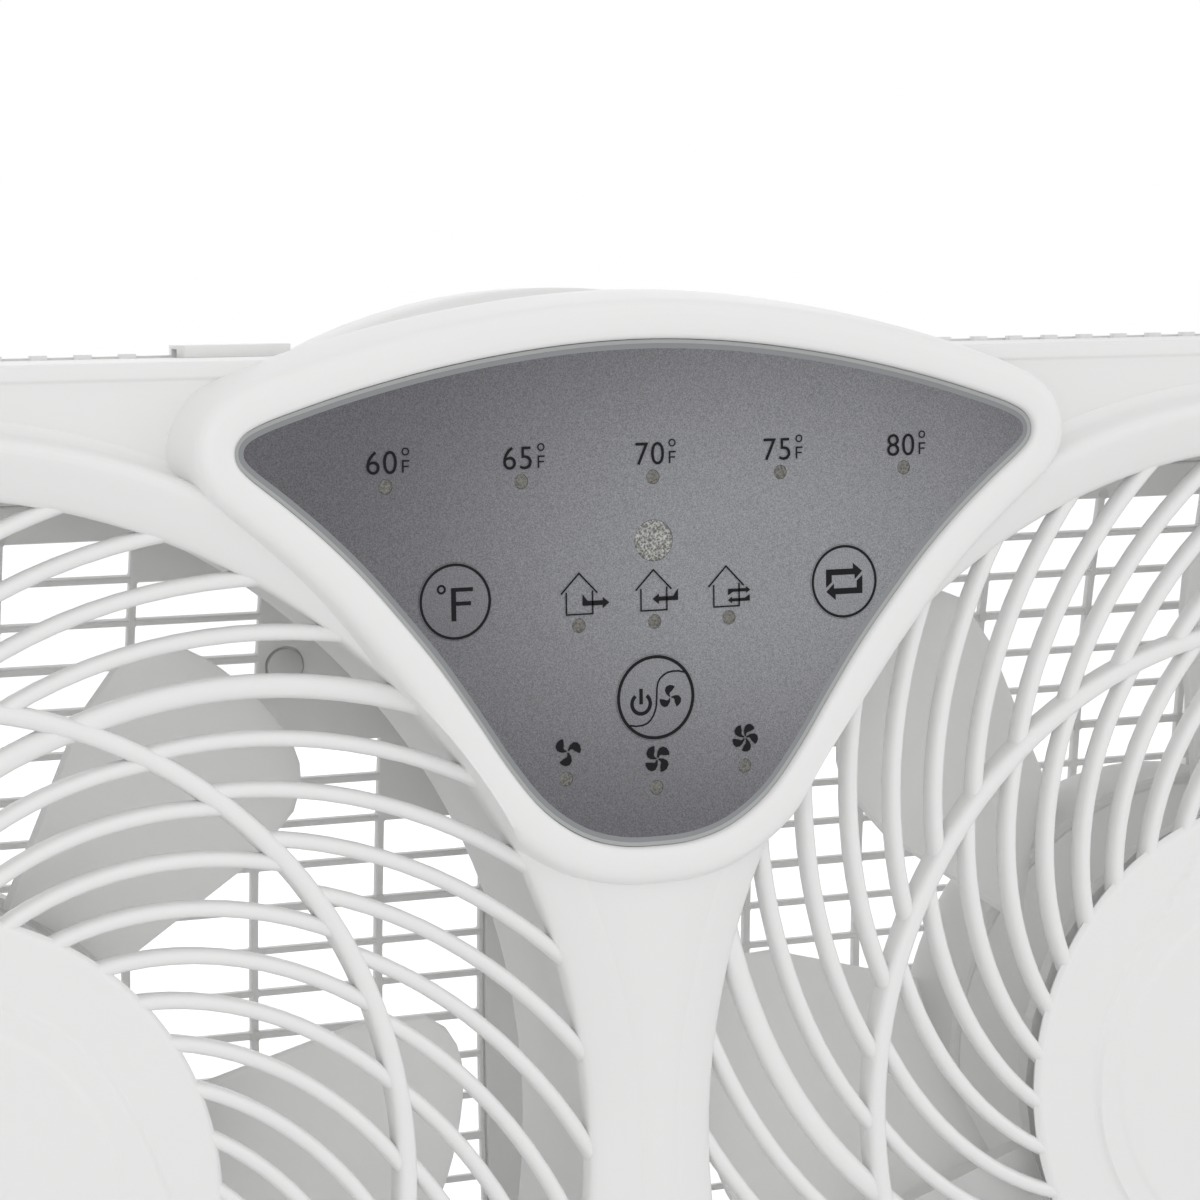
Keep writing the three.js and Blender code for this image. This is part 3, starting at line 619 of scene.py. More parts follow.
def printed(name, shapes):
    """Makes a thin mesh of each shape, which is a list of outlines, and joins them."""
    items = []
    for outlines in shapes:
        data = bpy.data.curves.new(name, "CURVE")
        data.dimensions = "2D"
        data.fill_mode = "BOTH"
        data.extrude = PRINT_THICK / 2 * MM
        for points in outlines:
            spline = data.splines.new("POLY")
            spline.points.add(len(points) - 1)
            spline.use_cyclic_u = True
            for spot, point in zip(spline.points, points):
                spot.co = (point[0] * MM, point[1] * MM, 0, 1)
        items.append(bpy.data.objects.new(name, data))
        bpy.context.scene.collection.objects.link(items[-1])
    return stand_up(name, items)


def stand_up(name, items):
    """Makes flat curves or text one mesh and stands it on the film."""
    only(*items)
    bpy.ops.object.convert(target="MESH")
    bpy.ops.object.transform_apply(location=True, rotation=True, scale=True)
    item = join(name, list(bpy.context.selected_objects))
    place = at(0, PRINT_FRONT + PRINT_THICK / 2, 0)
    edit(item)
    send(lambda co: Vector((co.x, place.y - co.z, co.y + HUB_Z)))
    outward()
    only(item)
    return item


def words(text, x, z, height):
    """Lettering of this height in millimetres, centred on x and z of the film."""
    only()
    bpy.ops.object.text_add()
    item = bpy.context.object
    item.data.body = text
    item.data.align_x = "CENTER"
    item.data.size = height / 0.73 * MM
    item.data.space_character = 1.08
    item.data.extrude = PRINT_THICK / 2 * MM
    item.data.offset = -0.000035
    item.location = (x * MM, (z - height / 2) * MM, 0)
    return item


# ---- settings and operators ----


class FanSizes(bpy.types.PropertyGroup):
    """Sizes of the fine parts."""

    rib_width: FloatProperty(name="Rib width", description="Width of a swirl rib", default=0.0031,
                             unit="LENGTH")
    thick_rib: FloatProperty(name="Thick rib", description="Width of every thick rib", default=0.0046,
                             unit="LENGTH")
    rib_depth: FloatProperty(name="Rib depth", description="Depth of a swirl rib", default=0.0052,
                             unit="LENGTH")
    slat: FloatProperty(name="Slat", description="Height of a rear slat", default=0.0013, unit="LENGTH")
    strong_slat: FloatProperty(name="Strong slat", description="Height of every third slat", default=0.0016,
                               unit="LENGTH")
    round_steps: IntProperty(name="Steps", description="Steps round a ring", default=144, min=24)


class FanLooks(bpy.types.PropertyGroup):
    """Colours of the finishes."""

    case_color: FloatVectorProperty(name="Case", description="White of the case", subtype="COLOR",
                                    default=(0.83, 0.83, 0.825))
    # the impellers' own white, painted lighter than the case's white to stand in for light inside the fan
    impeller_lit_color: FloatVectorProperty(name="Impeller", description="White of the impellers",
                                        subtype="COLOR",
                                        default=(0.93, 0.932, 0.925))
    film_corner: FloatVectorProperty(name="Film corners", description="Grey of the film's corners",
                                     subtype="COLOR", default=(0.101, 0.099, 0.11))
    # the lit grey of the pool of light painted into the film's middle
    film_lit_middle: FloatVectorProperty(name="Film middle", description="Grey of the film's middle",
                                     subtype="COLOR",
                                     default=(0.25, 0.254, 0.27))


class FanOperator:
    """What the operators share."""

    bl_options = {"REGISTER", "UNDO"}

    def execute(self, context):
        """Builds the pieces."""
        if not PAINTS:
            PAINTS.update(build_materials(context.scene.window_fan_looks))
        self.build(context.scene.window_fan_sizes)
        only()
        return {"FINISHED"}


class WINDOWFAN_OT_shell(FanOperator, bpy.types.Operator):
    """Front housing: case with recessed corners, ring bezels with ducts, and the web between the openings"""

    bl_idname = "window_fan.shell"
    bl_label = "Front Housing"

    def build(self, sizes):
        case = primitive("case_front", "cube", size=1, location=at(0, (11 + SPLIT) / 2, 0),
                         scale=(2 * HALF_W * MM, (SPLIT - 11) * MM, 2 * HALF_H * MM))
        only(case)
        bpy.ops.object.transform_apply(location=True, rotation=True, scale=True)
        edit(case)
        pick(lambda e: abs((e.verts[0].co - e.verts[1].co).normalized().y) > 0.9, "EDGE")
        bpy.ops.mesh.bevel(offset=26 * MM, segments=12, affect="EDGES")
        pick(lambda f: f.normal.y < -0.9)
        bpy.ops.mesh.inset(thickness=2.4 * MM)
        bpy.ops.mesh.inset(thickness=0.5 * MM)
        bpy.ops.mesh.inset(thickness=0.5 * MM)
        bpy.ops.transform.translate(value=(0, 0.5 * MM, 0))
        pick(lambda f: f.normal.y > 0.9)
        bpy.ops.mesh.delete(type="FACE")
        modify(case, "SOLIDIFY", thickness=2.4 * MM, offset=-1)
        bevel(case, 1.6, 3, 40)
        for side, s in SIDES:
            subtract(case, cylinder("cutter", OPENING + 5, s * HUB_X, 0, 5, 30, 128))
        complete(case, "case", "case", ["front_housing"])
        lip = [
            (OPENING + 2.4, 46), (OPENING + 5.4, 30), (OPENING + 2.6, 12), (OPENING + 2.5, 9.4),
            (OPENING, 8.8),
            (OPENING, 5.6), (OPENING + 0.4, 4.8), (OPENING + 1.3, 4.1), (OPENING + 4, 2.9),
            (OPENING + 7, 1.8),
            (OPENING + 8.8, 1.15), (OPENING + 9.8, 1.1), (OPENING + 10.8, 1.6), (OPENING + 11.5, 2.8),
            (OPENING + 11.9, 5), (OPENING + 12.3, 8.5), (OPENING + 13, 10.2), (OPENING + 14.6, 11.2),
            (OPENING + 14.6, 13.4), (OPENING + 8, 13.6), (OPENING + 8, 30), (OPENING + 5, 46),
            (OPENING + 2.4, 46),
        ]
        for side, s in SIDES:
            bezel = spun(f"ring_bezel_{side}", lip, s * HUB_X, sizes.round_steps)
            complete(bezel, "case", "case", ["front_housing"], 50)
        self.web()

    def web(self):
        """The smooth strip between the two openings, which ends in a hollow below."""
        crest = OPENING + 9.4
        levels = [62 - 124 * i / 40 for i in range(41)]
        rows = []
        for z in levels:
            half = HUB_X - math.sqrt(crest * crest - z * z)
            drop = 1.0 + 9.5 * ease(-z, 38, 62)
            back = 12.5
            edge = half + 2.2
            rows.append([at(-edge, back, z), at(-edge, drop + 1.2, z), at(-half, drop, z),
                         at(0, drop - 0.2, z),
                         at(half, drop, z), at(edge, drop + 1.2, z), at(edge, back, z), at(0, back, z)])
        web = lofted("case_web", rows)
        complete(web, "case", "case", ["front_housing"], 60)


class WINDOWFAN_OT_grilles(FanOperator, bpy.types.Operator):
    """Front grilles: swirl ribs, middle ring and the cap with its swirled crease"""

    bl_idname = "window_fan.grilles"
    bl_label = "Front Grilles"

    front = 4.9                      # front of the ribs

    def rib(self, name, x, radii, lead, sweep, width, depth):
        """One rib: a long rounded bar bent into its swirl."""
        steps = 12
        item = primitive(name, "cube", size=1)
        send(lambda co: Vector((co.x + 0.5, co.y, co.z)))
        pick(lambda e: abs(e.verts[0].co.x - e.verts[1].co.x) > 0.5, "EDGE")
        bpy.ops.mesh.bevel(offset=0.4, segments=3, affect="EDGES")
        pick(lambda e: abs(e.verts[0].co.x - e.verts[1].co.x) > 0.5, "EDGE")
        bpy.ops.mesh.subdivide(number_cuts=steps - 1)
        bpy.ops.mesh.select_all(action="SELECT")
        near, far = radii

        def bend(co):
            radius = near + (far - near) * co.x
            slope = math.hypot(1, radius * math.radians(sweep) / (far - near))
            turn = lead - sweep * co.x + math.degrees(co.z * width * slope / radius)
            px, pz = polar(x, radius, turn)
            return at(px, self.front + (co.y + 0.5) * depth, pz)

        send(bend)
        return item

    def build(self, sizes):
        depth = sizes.rib_depth / MM
        for side, s in SIDES:
            x = s * HUB_X
            pieces = []
            inner = (CAP - 1.5, MID_RING)
            outer = (MID_RING, OPENING + 1.2)
            for radii, lead, sweep, count in ((inner, THICK_ANGLE + INNER_SWEEP, INNER_SWEEP, INNER_RIBS),
                                              (outer, THICK_ANGLE, OUTER_SWEEP, OUTER_RIBS)):
                for step in range(count // 3):
                    width = (sizes.rib_width if step else sizes.thick_rib) / MM
                    rib = self.rib("rib", x, radii, lead - step * 360 / count, sweep, width, depth)
                    bpy.ops.mesh.select_all(action="SELECT")
                    bpy.ops.mesh.spin(steps=3, dupli=True, angle=2 * math.pi, center=at(x, 0, 0),
                                      axis=(0, 1, 0))
                    bpy.ops.mesh.select_all(action="SELECT")
                    bpy.ops.mesh.remove_doubles(threshold=0.000002)
                    only(rib)
                    pieces.append(rib)
            half = 1.85
            section = [(MID_RING + half * a, self.front - 0.25 + 1.3 + (depth - 1.3) * b) for a, b in (
                (-1, 1), (-1, 0.0), (-0.85, -0.28), (-0.5, -0.42), (0, -0.46), (0.5, -0.42),
                (0.85, -0.28), (1, 0.0),
                (1, 1), (-1, 1))]
            pieces.append(spun("middle_ring", section, x, sizes.round_steps))
            only(pieces[-1])
            grille = join(f"swirl_grille_{side}", pieces)
            complete(grille, "case", "grille", [f"front_grille_{side}"], 40)
            self.cap(side, x)

    def cap(self, side, x):
        """The cap: a shallow disc whose raised middle runs out to the rim in three swirled creases."""
        back, edge, rise = 7.2, 5.4, 1.0
        profile = [(0, edge - rise)] + [(r, edge - rise) for r in (12, 24, 34, 37)]
        profile += [(37.6 + 0.5 * k, edge - rise) for k in range(42)]
        profile += [(CAP - 0.1, edge + 0.5), (CAP - 0.4, edge + 1.4), (CAP - 1.2, back), (0, back)]
        cap = spun(f"grille_disc_{side}", profile, x, 240)
        centre = at(x, 0, 0)
        front = at(x, edge - 0.3, 0).y

        def press(co):
            if co.y > front:
                return co
            dx, dz = (co.x - centre.x) / MM, (co.z - centre.z) / MM
            radius = math.hypot(dx, dz)
            phase = (math.degrees(math.atan2(dz, dx)) - 105) % 120
            crease = 44.0 + 14.6 * math.exp(-phase / 12)
            tail = ease(phase, 0, 14) if radius > 44 else 1.0
            raised = tail * (1 - ease(radius, crease - 0.45, crease + 0.35))
            dome = 1.7 - 1.5 * (radius / CAP) ** 2.2 if radius > 0 else 1.7
            centre_step = 0.35 * (1 - ease(radius, 38.1, 39.1))
            round_off = 1.1 * ease(radius, CAP - 1.8, CAP) ** 2
            co.y = at(0, edge - 0.6 - dome * 0.5 - 0.85 * raised - centre_step + round_off, 0).y
            return co

        edit(cap)
        send(press)
        only(cap)
        complete(cap, "case", "grille", [f"grille_cap_{side}"], 50)


class WINDOWFAN_OT_impellers(FanOperator, bpy.types.Operator):
    """Impellers: hub cup and seven twisted blades, which ride on their fan's body with their nut"""

    bl_idname = "window_fan.impellers"
    bl_label = "Impellers"

    def blade(self, x, lead):
        """One blade: a grid shaped into a twisted sector with round corners."""
        item = primitive("blade", "grid", x_subdivisions=16, y_subdivisions=12, size=1)

        def place(co):
            u, v = co.x + 0.5, co.y + 0.5
            corner = (1 - abs(2 * u - 1) ** 4) ** 0.5
            tip = 97 + 22 * corner
            radius = 58.8 + (tip - 58.8) * v
            camber = 2.2 * math.sin(math.pi * u) * (0.4 + 0.6 * v)
            px, pz = polar(x, radius, lead - BLADE_ANGLE * u)
            return at(px, 27 + 31 * u - camber, pz)

        send(place)
        only(item)
        modify(item, "SOLIDIFY", thickness=1.9 * MM, offset=0)
        bevel(item, 0.6, 2, 50)
        return item

    def build(self, sizes):
        hub = [(0, 59.5), (57.2, 59.5), (57.5, 58.5), (57.5, 38.6), (58.3, 38), (59.3, 38.1), (60, 38.9),
               (60, 59.5), (59.6, 61), (58.4, 61.9), (56, 62), (10, 62), (10, 62), (4.05, 62),
               (4.05, 48), (9, 48),
               (9, 59.5)]
        cup = hub[1:] + [hub[1]]
        for side, s in SIDES:
            x = s * HUB_X
            pieces = [spun("cup", cup, x, 112)]
            only(pieces[0])
            for k in range(BLADES):
                pieces.append(self.blade(x, BLADE_LEAD[side] - k * 360 / BLADES))
            wheel = join(f"impeller_wheel_{side}", pieces)
            complete(wheel, f"fan_{side}", "impeller", [f"impeller_{side}"], 40)
            nut = softened(f"impeller_cap_nut_{side}", f"impeller_nut_{side}", 0.6)
            complete(nut, f"fan_{side}", "impeller", [f"impeller_nut_{side}"], 40)


class WINDOWFAN_OT_console(FanOperator, bpy.types.Operator):
    """Console: rounded rim, grained film, keys, light windows and print"""

    bl_idname = "window_fan.console"
    bl_label = "Console"

    def build(self, sizes):
        edge = film_outline()
        self.rim(edge)
        self.film(edge)
        self.windows()
        self.keys()
        self.labels()
        self.icons()

    def rim(self, edge):
        """The raised white rim, which runs out into the openings below."""
        steps = (
            (-0.6, 6.0), (0.0, 6.0), (0.05, 0.3), (0.15, -0.75), (0.5, -1.25), (1.1, -1.5), (2.4, -1.6),
            (4.6, -1.6),
            (5.9, -1.35), (6.8, -0.8), (7.4, 0.1), (7.8, 1.4), (8.4, 5.0), (9.2, 9.0), (9.6, 12.2),
            (-0.6, 12.2),
        )
        rim = lofted("console_rim", [flat(grown(edge, out), depth) for out, depth in steps], closed=True)
        for side, s in SIDES:
            subtract(rim, cylinder("cutter", OPENING, s * HUB_X, 0, -9, 30, 192))
        complete(rim, "case", "rim", ["console_bezel"], 40)

    def film(self, edge):
        """The grey film with a pale translucent margin, open at its keys and lights."""
        count = len(edge)
        film = primitive("console_film", "circle", vertices=count, radius=MM)
        points = flat(grown(edge, -0.05), 0)
        for vertex, point in zip(bmesh.from_edit_mesh(film.data).verts, points):
            vertex.co = point
        bpy.ops.mesh.edge_face_add()
        bpy.ops.mesh.inset(thickness=0.75 * MM, depth=0.12 * MM)
        bpy.ops.mesh.inset(thickness=1.0 * MM)
        bpy.ops.mesh.select_all(action="SELECT")
        bpy.ops.mesh.extrude_region_move(TRANSFORM_OT_translate={"value": (0, 1.4 * MM, 0)})
        outward()
        only(film)
        cutters = [cylinder("cutter", radius + 0.06, x, z, -3, 5, 96) for _, x, z, radius in KEYS]
        cutters += [cylinder("cutter", 1.42, x, z, -3, 5, 24) for x, z in LIGHTS]
        cutters.append(cylinder("cutter", 4.05, *WINDOW, -3, 5, 48))
        subtract(film, join("cutters", cutters))
        only(film)
        for paint in ("film", "film_margin", "film_edge"):
            film.data.materials.append(PAINTS[paint])
        for face in film.data.polygons:
            inside = self.depth_inside(face.center, edge)
            face.material_index = 2 if inside < 0.55 else 1 if inside < 1.45 else 0
        complete(film, "case", None, ["control_overlay"], 30)

    def depth_inside(self, place, edge):
        """How far a place lies from the film's edge, in millimetres."""
        point = Vector((place.x / MM, (place.z - HUB_Z) / MM))
        reach = []
        for a, b in zip(edge, edge[1:] + edge[:1]):
            t = min(1.0, max(0.0, (point - a).dot(b - a) / (b - a).length_squared))
            reach.append((point - a.lerp(b, t)).length)
        return min(reach)

    def windows(self):
        """The light windows and the receiver window, just under the film's face."""
        lenses = [cylinder("lens", 1.4, x, z, 0.16, 1.3, 24) for x, z in LIGHTS]
        for lens in lenses:
            bevel(lens, 0.15, 2)
        complete(join("light_windows", lenses), "case", "lens", ["light_guide"])
        window = cylinder("receiver_pane", 4.0, *WINDOW, 0.1, 1.4, 48)
        bevel(window, 0.15, 2)
        complete(window, "case", "window", ["ir_window"])

    def keys(self):
        """The three keys with their print, each on its own body."""
        signs = {"temperature": self.degree_sign, "mode": self.loop_sign, "power": self.power_sign}
        for name, x, z, radius in KEYS:
            disc = cylinder("disc", radius, x, z, 0, 1.5, 96)
            bevel(disc, 0.06, 2)
            key = join(f"key_{name}", [cylinder("stem", 2.4, x, z, 1.4, 2.85, 24), disc])
            complete(key, f"key_{name}", "film", [f"button_{name}"])
            shapes = [ring(x, z, radius - 0.15, 0.62 if name == "power" else 0.5, 96)] + signs[name](x, z)
            sign = printed(f"key_print_{name}", shapes)
            complete(sign, f"key_{name}", "print")

    def degree_sign(self, x, z):
        """A degree mark and a capital F."""
        letter = ((-0.83, -3.73), (-0.83, 2.6), (3.6, 2.6), (3.6, 1.85), (0.14, 1.85), (0.14, -0.05),
                  (3.15, -0.05),
                  (3.15, -0.8), (0.14, -0.8), (0.14, -3.73))
        return [ring(x - 2.8, z + 2.4, 0.92, 0.42, 24), [moved(letter, x, z)]]

    def loop_sign(self, x, z):
        """Two arrows that follow each other round a rectangle."""
        half = ((-4.05, -1.1), (-4.05, 2.5), (1.95, 2.5), (1.95, 3.6), (4.0, 1.95), (2.35, 0.35), (2.3, 1.33),
                (-2.8, 1.33), (-2.8, -0.05))
        return [[moved(half, x, z)], [moved(half, x, z, -1)]]

    def power_sign(self, x, z):
        """A power mark and a small fan, parted by a curved line."""
        mark = ribbon(arc(x - 3.15, z - 1.1, 1.95, 128, 412), 0.72)
        bar = ribbon([(x - 3.15, z - 1.2), (x - 3.15, z + 1.85)], 0.72)
        part = ((6.1, 4.6), (5.0, 4.88), (3.8, 4.92), (2.6, 4.75), (1.68, 4.28), (0.9, 3.6), (0.46, 2.83),
                (0.25, 1.7), (0.2, 0.42), (0.1, -1.5), (-0.15, -2.6), (-0.6, -3.6), (-1.2, -4.45),
                (-2.0, -5.05),
                (-3.0, -5.35), (-4.28, -5.43), (-5.6, -5.2))
        return [mark, bar, ribbon(moved(part, x, z), 0.34)] + swirl(x + 3.1, z - 0.2, 2.45, 3, 127)

    def labels(self):
        """The temperatures over their lights, each with a small degree mark over an F."""
        items, shapes = [], []
        for number, (x, z) in zip(("60", "65", "70", "75", "80"), LIGHTS[:5]):
            items.append(words(number, x - 0.7, z + 4.7, 4.6))
            shapes.append(ring(x + 4.1, z + 6.5, 0.75, 0.24, 20))
            shapes.append(ribbon([(x + 3.55, z + 2.55), (x + 3.55, z + 4.75), (x + 4.85, z + 4.75)], 0.3))
            shapes.append(ribbon([(x + 3.7, z + 3.72), (x + 4.7, z + 3.72)], 0.26))
        numbers = stand_up("temperature_numbers", items)
        marks = printed("degree_marks", shapes)
        complete(join("temperature_labels", [marks, numbers]), "case", "print")

    def icons(self):
        """Three houses with arrows for the air's direction, and three fans for its speed."""
        shapes = []
        z = 106.7
        for x in (-15.9, -0.2, 15.4):
            shapes += house(x, z)
        out, back, both = -15.9, -0.2, 15.4
        shapes.append(arrow(out + 0.7, z + 2.05, out + 6.3, 1.8, 0.9, 1.05))
        shapes.append(arrow(back + 5.2, z + 2.2, back - 0.2, 1.8, 0.8, 1.0))
        shapes.append(arrow(both + 0.4, z + 3.1, both + 5.2, -0.95, 0.6, 0.65))
        shapes.append(arrow(both + 5.1, z + 1.2, both + 0.4, 0.95, 0.6, 0.65))
        places = ((-18.8, 80.3), (0.2, 77.6), (19.2, 80.6))
        for (x, height), blades, turn in zip(places, (3, 4, 5), (52, 76, 89)):
            shapes += swirl(x, height, 2.85, blades, turn)
        complete(printed("console_icons", shapes), "case", "print")


class WINDOWFAN_OT_rear(FanOperator, bpy.types.Operator):
    """Rear: bowed grilles of fine slats, housing, sliding panels, rails and locks"""

    bl_idname = "window_fan.rear"
    bl_label = "Rear"

    band = 5.6                       # half width of the band between the grilles
    first_bar = 29.8                 # bars: the one nearest to the band, their count and width
    bar_count = 9
    bar = 1.6
    pitch = 9.0                      # slats: their spacing and the height of the first above the hubs
    shift = 4.0
    boss = (52.4, 92)
    boss_pad = 76                    # the column with the boss is closed from this height on
    oval = 1.08                      # how much wider than high the field of open cells is

    def grille(self, side, s, sizes):
        """A grid whose lines are the edges of the bars and slats, opened where air passes."""
        low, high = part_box(f"rear_grille_{side}")
        top = (high.z - HUB_Z) / MM
        end = max(abs(low.x), abs(high.x)) / MM
        bars = [self.first_bar + c * REAR_PITCH for c in range(self.bar_count)]
        rows = int((top - 3 - self.shift) // self.pitch)
        slats = [(k, self.shift + k * self.pitch) for k in range(-rows, rows + 1)]
        xs = [self.band + 0.2, self.band + 1.2]
        for x in bars:
            xs += [x - self.bar / 2, x + self.bar / 2]
        xs += [end - 1.2, end]
        zs = [-top]
        for k, z in slats:
            half = (sizes.strong_slat if k % 3 == 1 else sizes.slat) / MM / 2
            zs += [z - half, z + half]
        zs.append(top)
        item = primitive(f"rear_slats_{side}", "grid", x_subdivisions=len(xs) - 1,
                         y_subdivisions=len(zs) - 1, size=1)

        def place(co):
            i = round((co.x + 0.5) * (len(xs) - 1))
            k = round((co.y + 0.5) * (len(zs) - 1))
            return at(s * xs[i], bow(zs[k]) - 1.4, zs[k])

        send(place)

        def open_cell(face):
            centre = face.calc_center_median()
            x, z = abs(centre.x) / MM, (centre.z - HUB_Z) / MM
            column = sum(1 for line in xs if line < x)
            row = sum(1 for line in zs if line < z)
            between = column % 2 == 0 and row % 2 == 1 and 1 < row < len(zs) - 1
            padded = bars[0] < x < bars[1] and abs(z) > self.boss_pad
            return between and not padded and math.hypot((x - HUB_X) / self.oval, z) < OPENING - 1.5

        pick(open_cell)
        bpy.ops.mesh.delete(type="FACE")
        outward()
        modify(item, "SOLIDIFY", thickness=2.0 * MM, offset=0)
        bevel(item, 0.3, 1, 40)
        parts = []
        boss_x, boss_z = self.boss
        for z in (-boss_z, boss_z):
            subtract(item, cylinder("cutter", 4.3, s * boss_x, z, bow(z) - 6, bow(z) + 2, 40))
            for radius, front, back in ((3.75, 3.3, 0.8), (5.4, 1.3, 0.3)):
                part = cylinder("boss", radius, s * boss_x, z, bow(z) - front, bow(z) - back, 40)
                bevel(part, 0.25, 2)
                parts.append(part)
        for x in bars:
            for k, z in slats:
                if k % 3 == 1 and math.hypot(x - HUB_X, z) < OPENING - 6:
                    parts.append(cylinder("stud", 1.15, s * x, z, bow(z) - 2.8, bow(z) - 1, 12))
        grille = join(f"rear_slats_{side}", [*parts, item])
        complete(grille, "case", "rear", [f"rear_grille_{side}"], 30)

    def build(self, sizes):
        for side, s in SIDES:
            self.grille(side, s, sizes)
        top = at(0, 0, HALF_H).z
        inner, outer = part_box("rail_top_right")[0].x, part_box("rail_top_right")[1].x

        def taper(co):
            fall = 1 - 0.4 * ease(abs(co.x), inner, outer)
            return Vector((co.x, co.y, top + (co.z - top) * fall if co.z > top else co.z))

        def lower_teeth(co):
            return Vector((co.x, co.y, co.z - (0.35 * MM if co.z > top + 0.5 * MM else 0)))

        soft = (
            ("case_rear", "rear_housing", 0.8, "rear"),
            ("handle_arch", "carry_handle", 1.2, "case"),
            ("guide_rail_bottom", "rail_bottom", 0.4, "case"),
        )
        for name, node, width, paint in soft:
            complete(softened(name, node, width), "case", paint, [node])
        for side, _ in SIDES:
            rail = softened(f"guide_rail_{side}", f"rail_top_{side}", 0.3, shape=taper)
            complete(rail, "case", "case", [f"rail_top_{side}"])
            panel = softened(f"side_panel_{side}", f"expander_{side}", 0.3, shape=lower_teeth)
            complete(panel, f"panel_{side}", "case", [f"expander_{side}"])
            lock = softened(f"panel_lock_{side}", f"expander_lock_{side}", 0.3)
            complete(lock, f"lock_{side}", "grille", [f"expander_lock_{side}"])


class WINDOWFAN_OT_finish_frame(FanOperator, bpy.types.Operator):
    """Finishes of the frame's own pieces: motors, brackets, boards, switches, screws and pads"""

    bl_idname = "window_fan.finish_frame"
    bl_label = "Frame Finishes"

    finishes = {
        # painted light: the motor bracket takes the rear's lightened white, standing in for light in the
        # shade behind the grilles
        "motor_bracket": "rear", "motor_left": "motor", "motor_right": "motor", "motor_shaft": "steel",
        "case_screw": "steel", "control_board": "board", "power_board": "board", "base_pad": "pad",
        "switch": "black", "run_capacitor": "black", "ir_receiver": "black", "temperature_sensor": "black",
    }

    def build(self, sizes):
        for node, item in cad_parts.items():
            paint = next((p for start, p in self.finishes.items() if node.startswith(start)), "case")
            item.data.materials.clear()
            item.data.materials.append(PAINTS[paint])


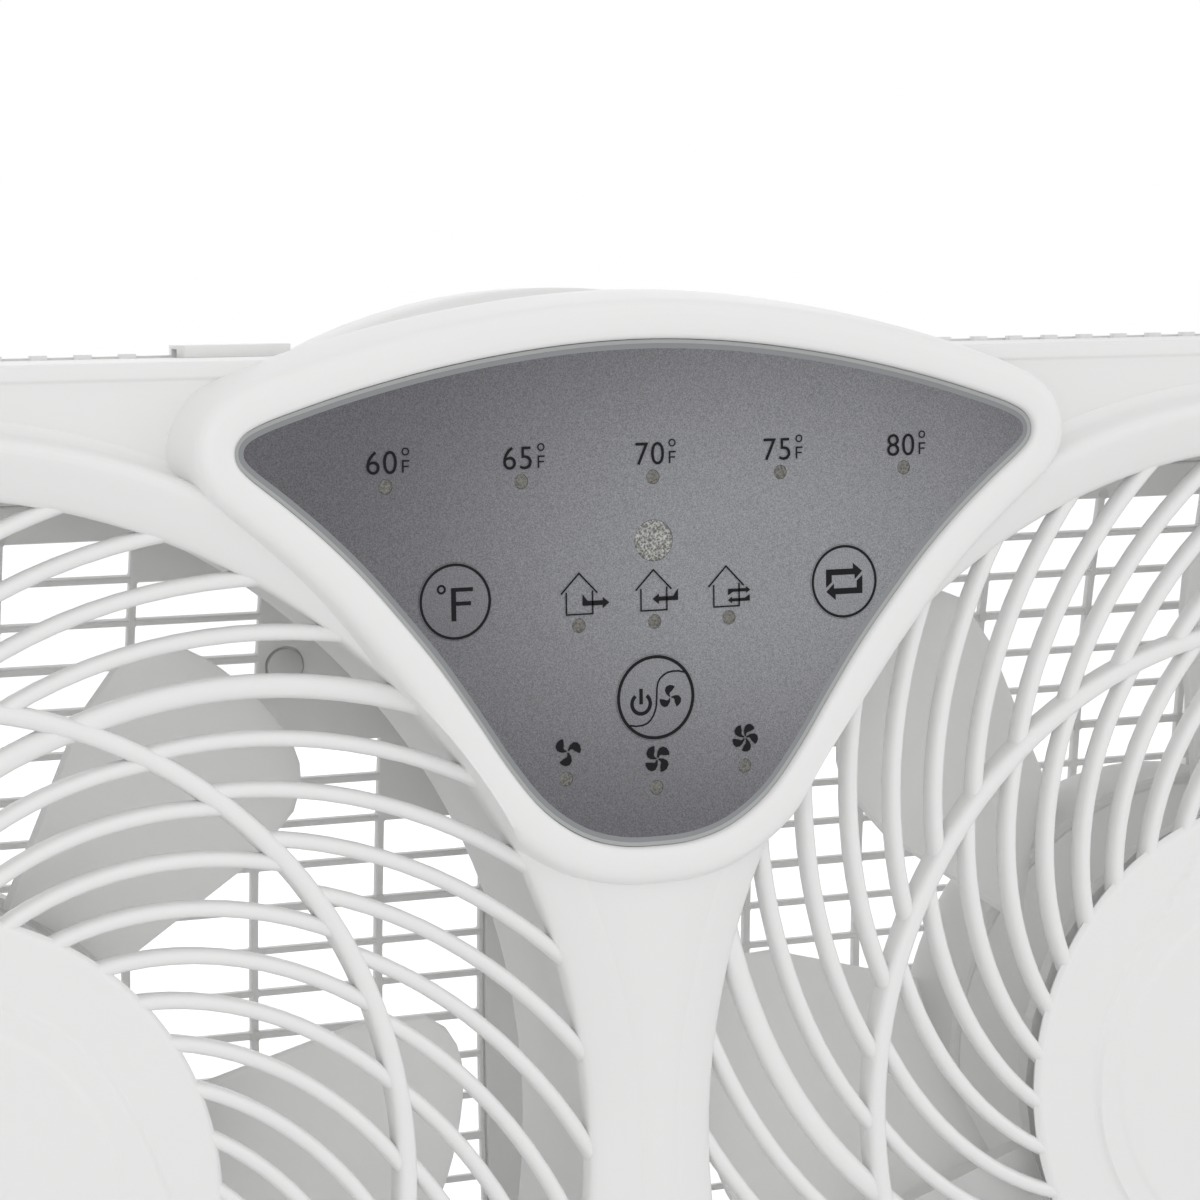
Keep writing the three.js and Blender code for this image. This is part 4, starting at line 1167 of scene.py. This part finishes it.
class WINDOWFAN_OT_stage(bpy.types.Operator):
    """Floor, soft lights, white surroundings and the camera"""

    bl_idname = "window_fan.stage"
    bl_label = "Stage"

    def execute(self, context):
        self.floor()
        self.lights()
        self.world(context.scene)
        self.camera(context.scene)
        context.scene.view_settings.view_transform = "Standard"
        return {"FINISHED"}

    def seen_white(self, tree, shader, output, strength=1.0):
        """Shows plain white to the camera and in reflections, and the given shader to everything else."""
        path = tree.nodes.new("ShaderNodeLightPath")
        first = tree.nodes.new("ShaderNodeMath")
        first.operation = "MAXIMUM"
        second = tree.nodes.new("ShaderNodeMath")
        second.operation = "MAXIMUM"
        tree.links.new(path.outputs["Is Camera Ray"], first.inputs[0])
        tree.links.new(path.outputs["Is Glossy Ray"], first.inputs[1])
        tree.links.new(first.outputs[0], second.inputs[0])
        tree.links.new(path.outputs["Is Transmission Ray"], second.inputs[1])
        white = tree.nodes.new("ShaderNodeBackground" if output.bl_idname == "ShaderNodeOutputWorld"
                               else "ShaderNodeEmission")
        white.inputs["Color"].default_value = (1, 1, 1, 1)
        white.inputs["Strength"].default_value = strength
        mix = tree.nodes.new("ShaderNodeMixShader")
        tree.links.new(second.outputs[0], mix.inputs[0])
        tree.links.new(shader, mix.inputs[1])
        tree.links.new(white.outputs[0], mix.inputs[2])
        tree.links.new(mix.outputs[0], output.inputs["Surface"])

    def floor(self):
        only()
        bpy.ops.mesh.primitive_plane_add(size=8)
        floor = bpy.context.object
        floor.name = "floor"
        paint = Paint("pale_floor")
        paint.set(Base_Color=paint.blend(paint.noise(3.0), (0.84, 0.84, 0.84, 1), (0.87, 0.87, 0.87, 1)),
                  Roughness=0.7)
        tree = paint.tree
        glow = tree.nodes.new("ShaderNodeEmission")
        glow.inputs["Strength"].default_value = 0.35
        path = tree.nodes.new("ShaderNodeLightPath")
        both = tree.nodes.new("ShaderNodeAddShader")
        mix = tree.nodes.new("ShaderNodeMixShader")
        output = tree.nodes["Material Output"]
        tree.links.new(paint.shader.outputs[0], both.inputs[0])
        tree.links.new(glow.outputs[0], both.inputs[1])
        tree.links.new(path.outputs["Is Camera Ray"], mix.inputs[0])
        tree.links.new(paint.shader.outputs[0], mix.inputs[1])
        tree.links.new(both.outputs[0], mix.inputs[2])
        tree.links.new(mix.outputs[0], output.inputs["Surface"])
        floor.data.materials.append(paint.material)

    def lights(self):
        for name, place, size, power in (
            ("front_softbox", (-0.7, -1.9, 0.6), 1.2, 5.0),
            ("top_softbox", (0.3, -0.6, 2.1), 1.8, 1.5),
            ("right_fill", (1.8, -1.2, 0.7), 1.4, 2.5),
            ("back_fill", (0.2, 1.9, 0.3), 1.8, 6.0),
        ):
            data = bpy.data.lights.new(name, "AREA")
            data.shape = "SQUARE"
            data.size = size
            data.energy = power
            lamp = bpy.data.objects.new(name, data)
            bpy.context.scene.collection.objects.link(lamp)
            lamp.location = place
            lamp.rotation_euler = (Vector((0, 0, 0.18)) - Vector(place)).to_track_quat("-Z", "Y").to_euler()

    def world(self, scene):
        world = bpy.data.worlds.new("surroundings")
        scene.world = world
        world.use_nodes = True
        tree = world.node_tree
        soft = tree.nodes["Background"]
        soft.inputs["Color"].default_value = (1, 1, 1, 1)
        soft.inputs["Strength"].default_value = 0.82
        self.seen_white(tree, soft.outputs[0], tree.nodes["World Output"])

    def camera(self, scene):
        """The photograph's view: place, direction and focal length."""
        yaw, pitch, roll = (math.radians(a) for a in (23.5, 5.19, -0.78))
        forward = Vector((math.sin(yaw) * math.cos(pitch), math.cos(yaw) * math.cos(pitch), -math.sin(pitch)))
        right = Vector((math.cos(yaw), -math.sin(yaw), 0))
        up = right.cross(forward)
        turned_right = right * math.cos(roll) + up * math.sin(roll)
        turned_up = up * math.cos(roll) - right * math.sin(roll)
        data = bpy.data.cameras.new("camera")
        data.lens = 103.62
        data.sensor_width = 36.0
        data.clip_start = 0.01
        camera = bpy.data.objects.new("camera", data)
        scene.collection.objects.link(camera)
        turn = Matrix((turned_right, turned_up, -forward)).transposed()
        camera.matrix_world = Matrix.Translation(at(-275.75, -607.61, 169.44)) @ turn.to_4x4()
        scene.camera = camera


class WINDOWFAN_PT_panel(bpy.types.Panel):
    """Lists the fan's pieces in the sidebar"""

    bl_label = "Window Fan"
    bl_idname = "WINDOWFAN_PT_panel"
    bl_space_type = "VIEW_3D"
    bl_region_type = "UI"
    bl_category = "Window Fan"

    def draw(self, context):
        for settings in (context.scene.window_fan_sizes, context.scene.window_fan_looks):
            for name in settings.__annotations__:
                self.layout.prop(settings, name)
        for operator in OPERATORS:
            self.layout.operator(operator.bl_idname)


OPERATORS = (
    WINDOWFAN_OT_stage,
    WINDOWFAN_OT_finish_frame,
    WINDOWFAN_OT_shell,
    WINDOWFAN_OT_grilles,
    WINDOWFAN_OT_impellers,
    WINDOWFAN_OT_console,
    WINDOWFAN_OT_rear,
)
CLASSES = (FanSizes, FanLooks, *OPERATORS, WINDOWFAN_PT_panel)


def register():
    for cls in CLASSES:
        bpy.utils.register_class(cls)
    bpy.types.Scene.window_fan_sizes = PointerProperty(type=FanSizes)
    bpy.types.Scene.window_fan_looks = PointerProperty(type=FanLooks)


def unregister():
    del bpy.types.Scene.window_fan_looks
    del bpy.types.Scene.window_fan_sizes
    for cls in reversed(CLASSES):
        bpy.utils.unregister_class(cls)


def main():
    register()
    bpy.ops.window_fan.stage()
    bpy.ops.window_fan.finish_frame()
    bpy.ops.window_fan.shell()
    bpy.ops.window_fan.grilles()
    bpy.ops.window_fan.impellers()
    bpy.ops.window_fan.console()
    bpy.ops.window_fan.rear()


if __name__ == "__main__":
    main()
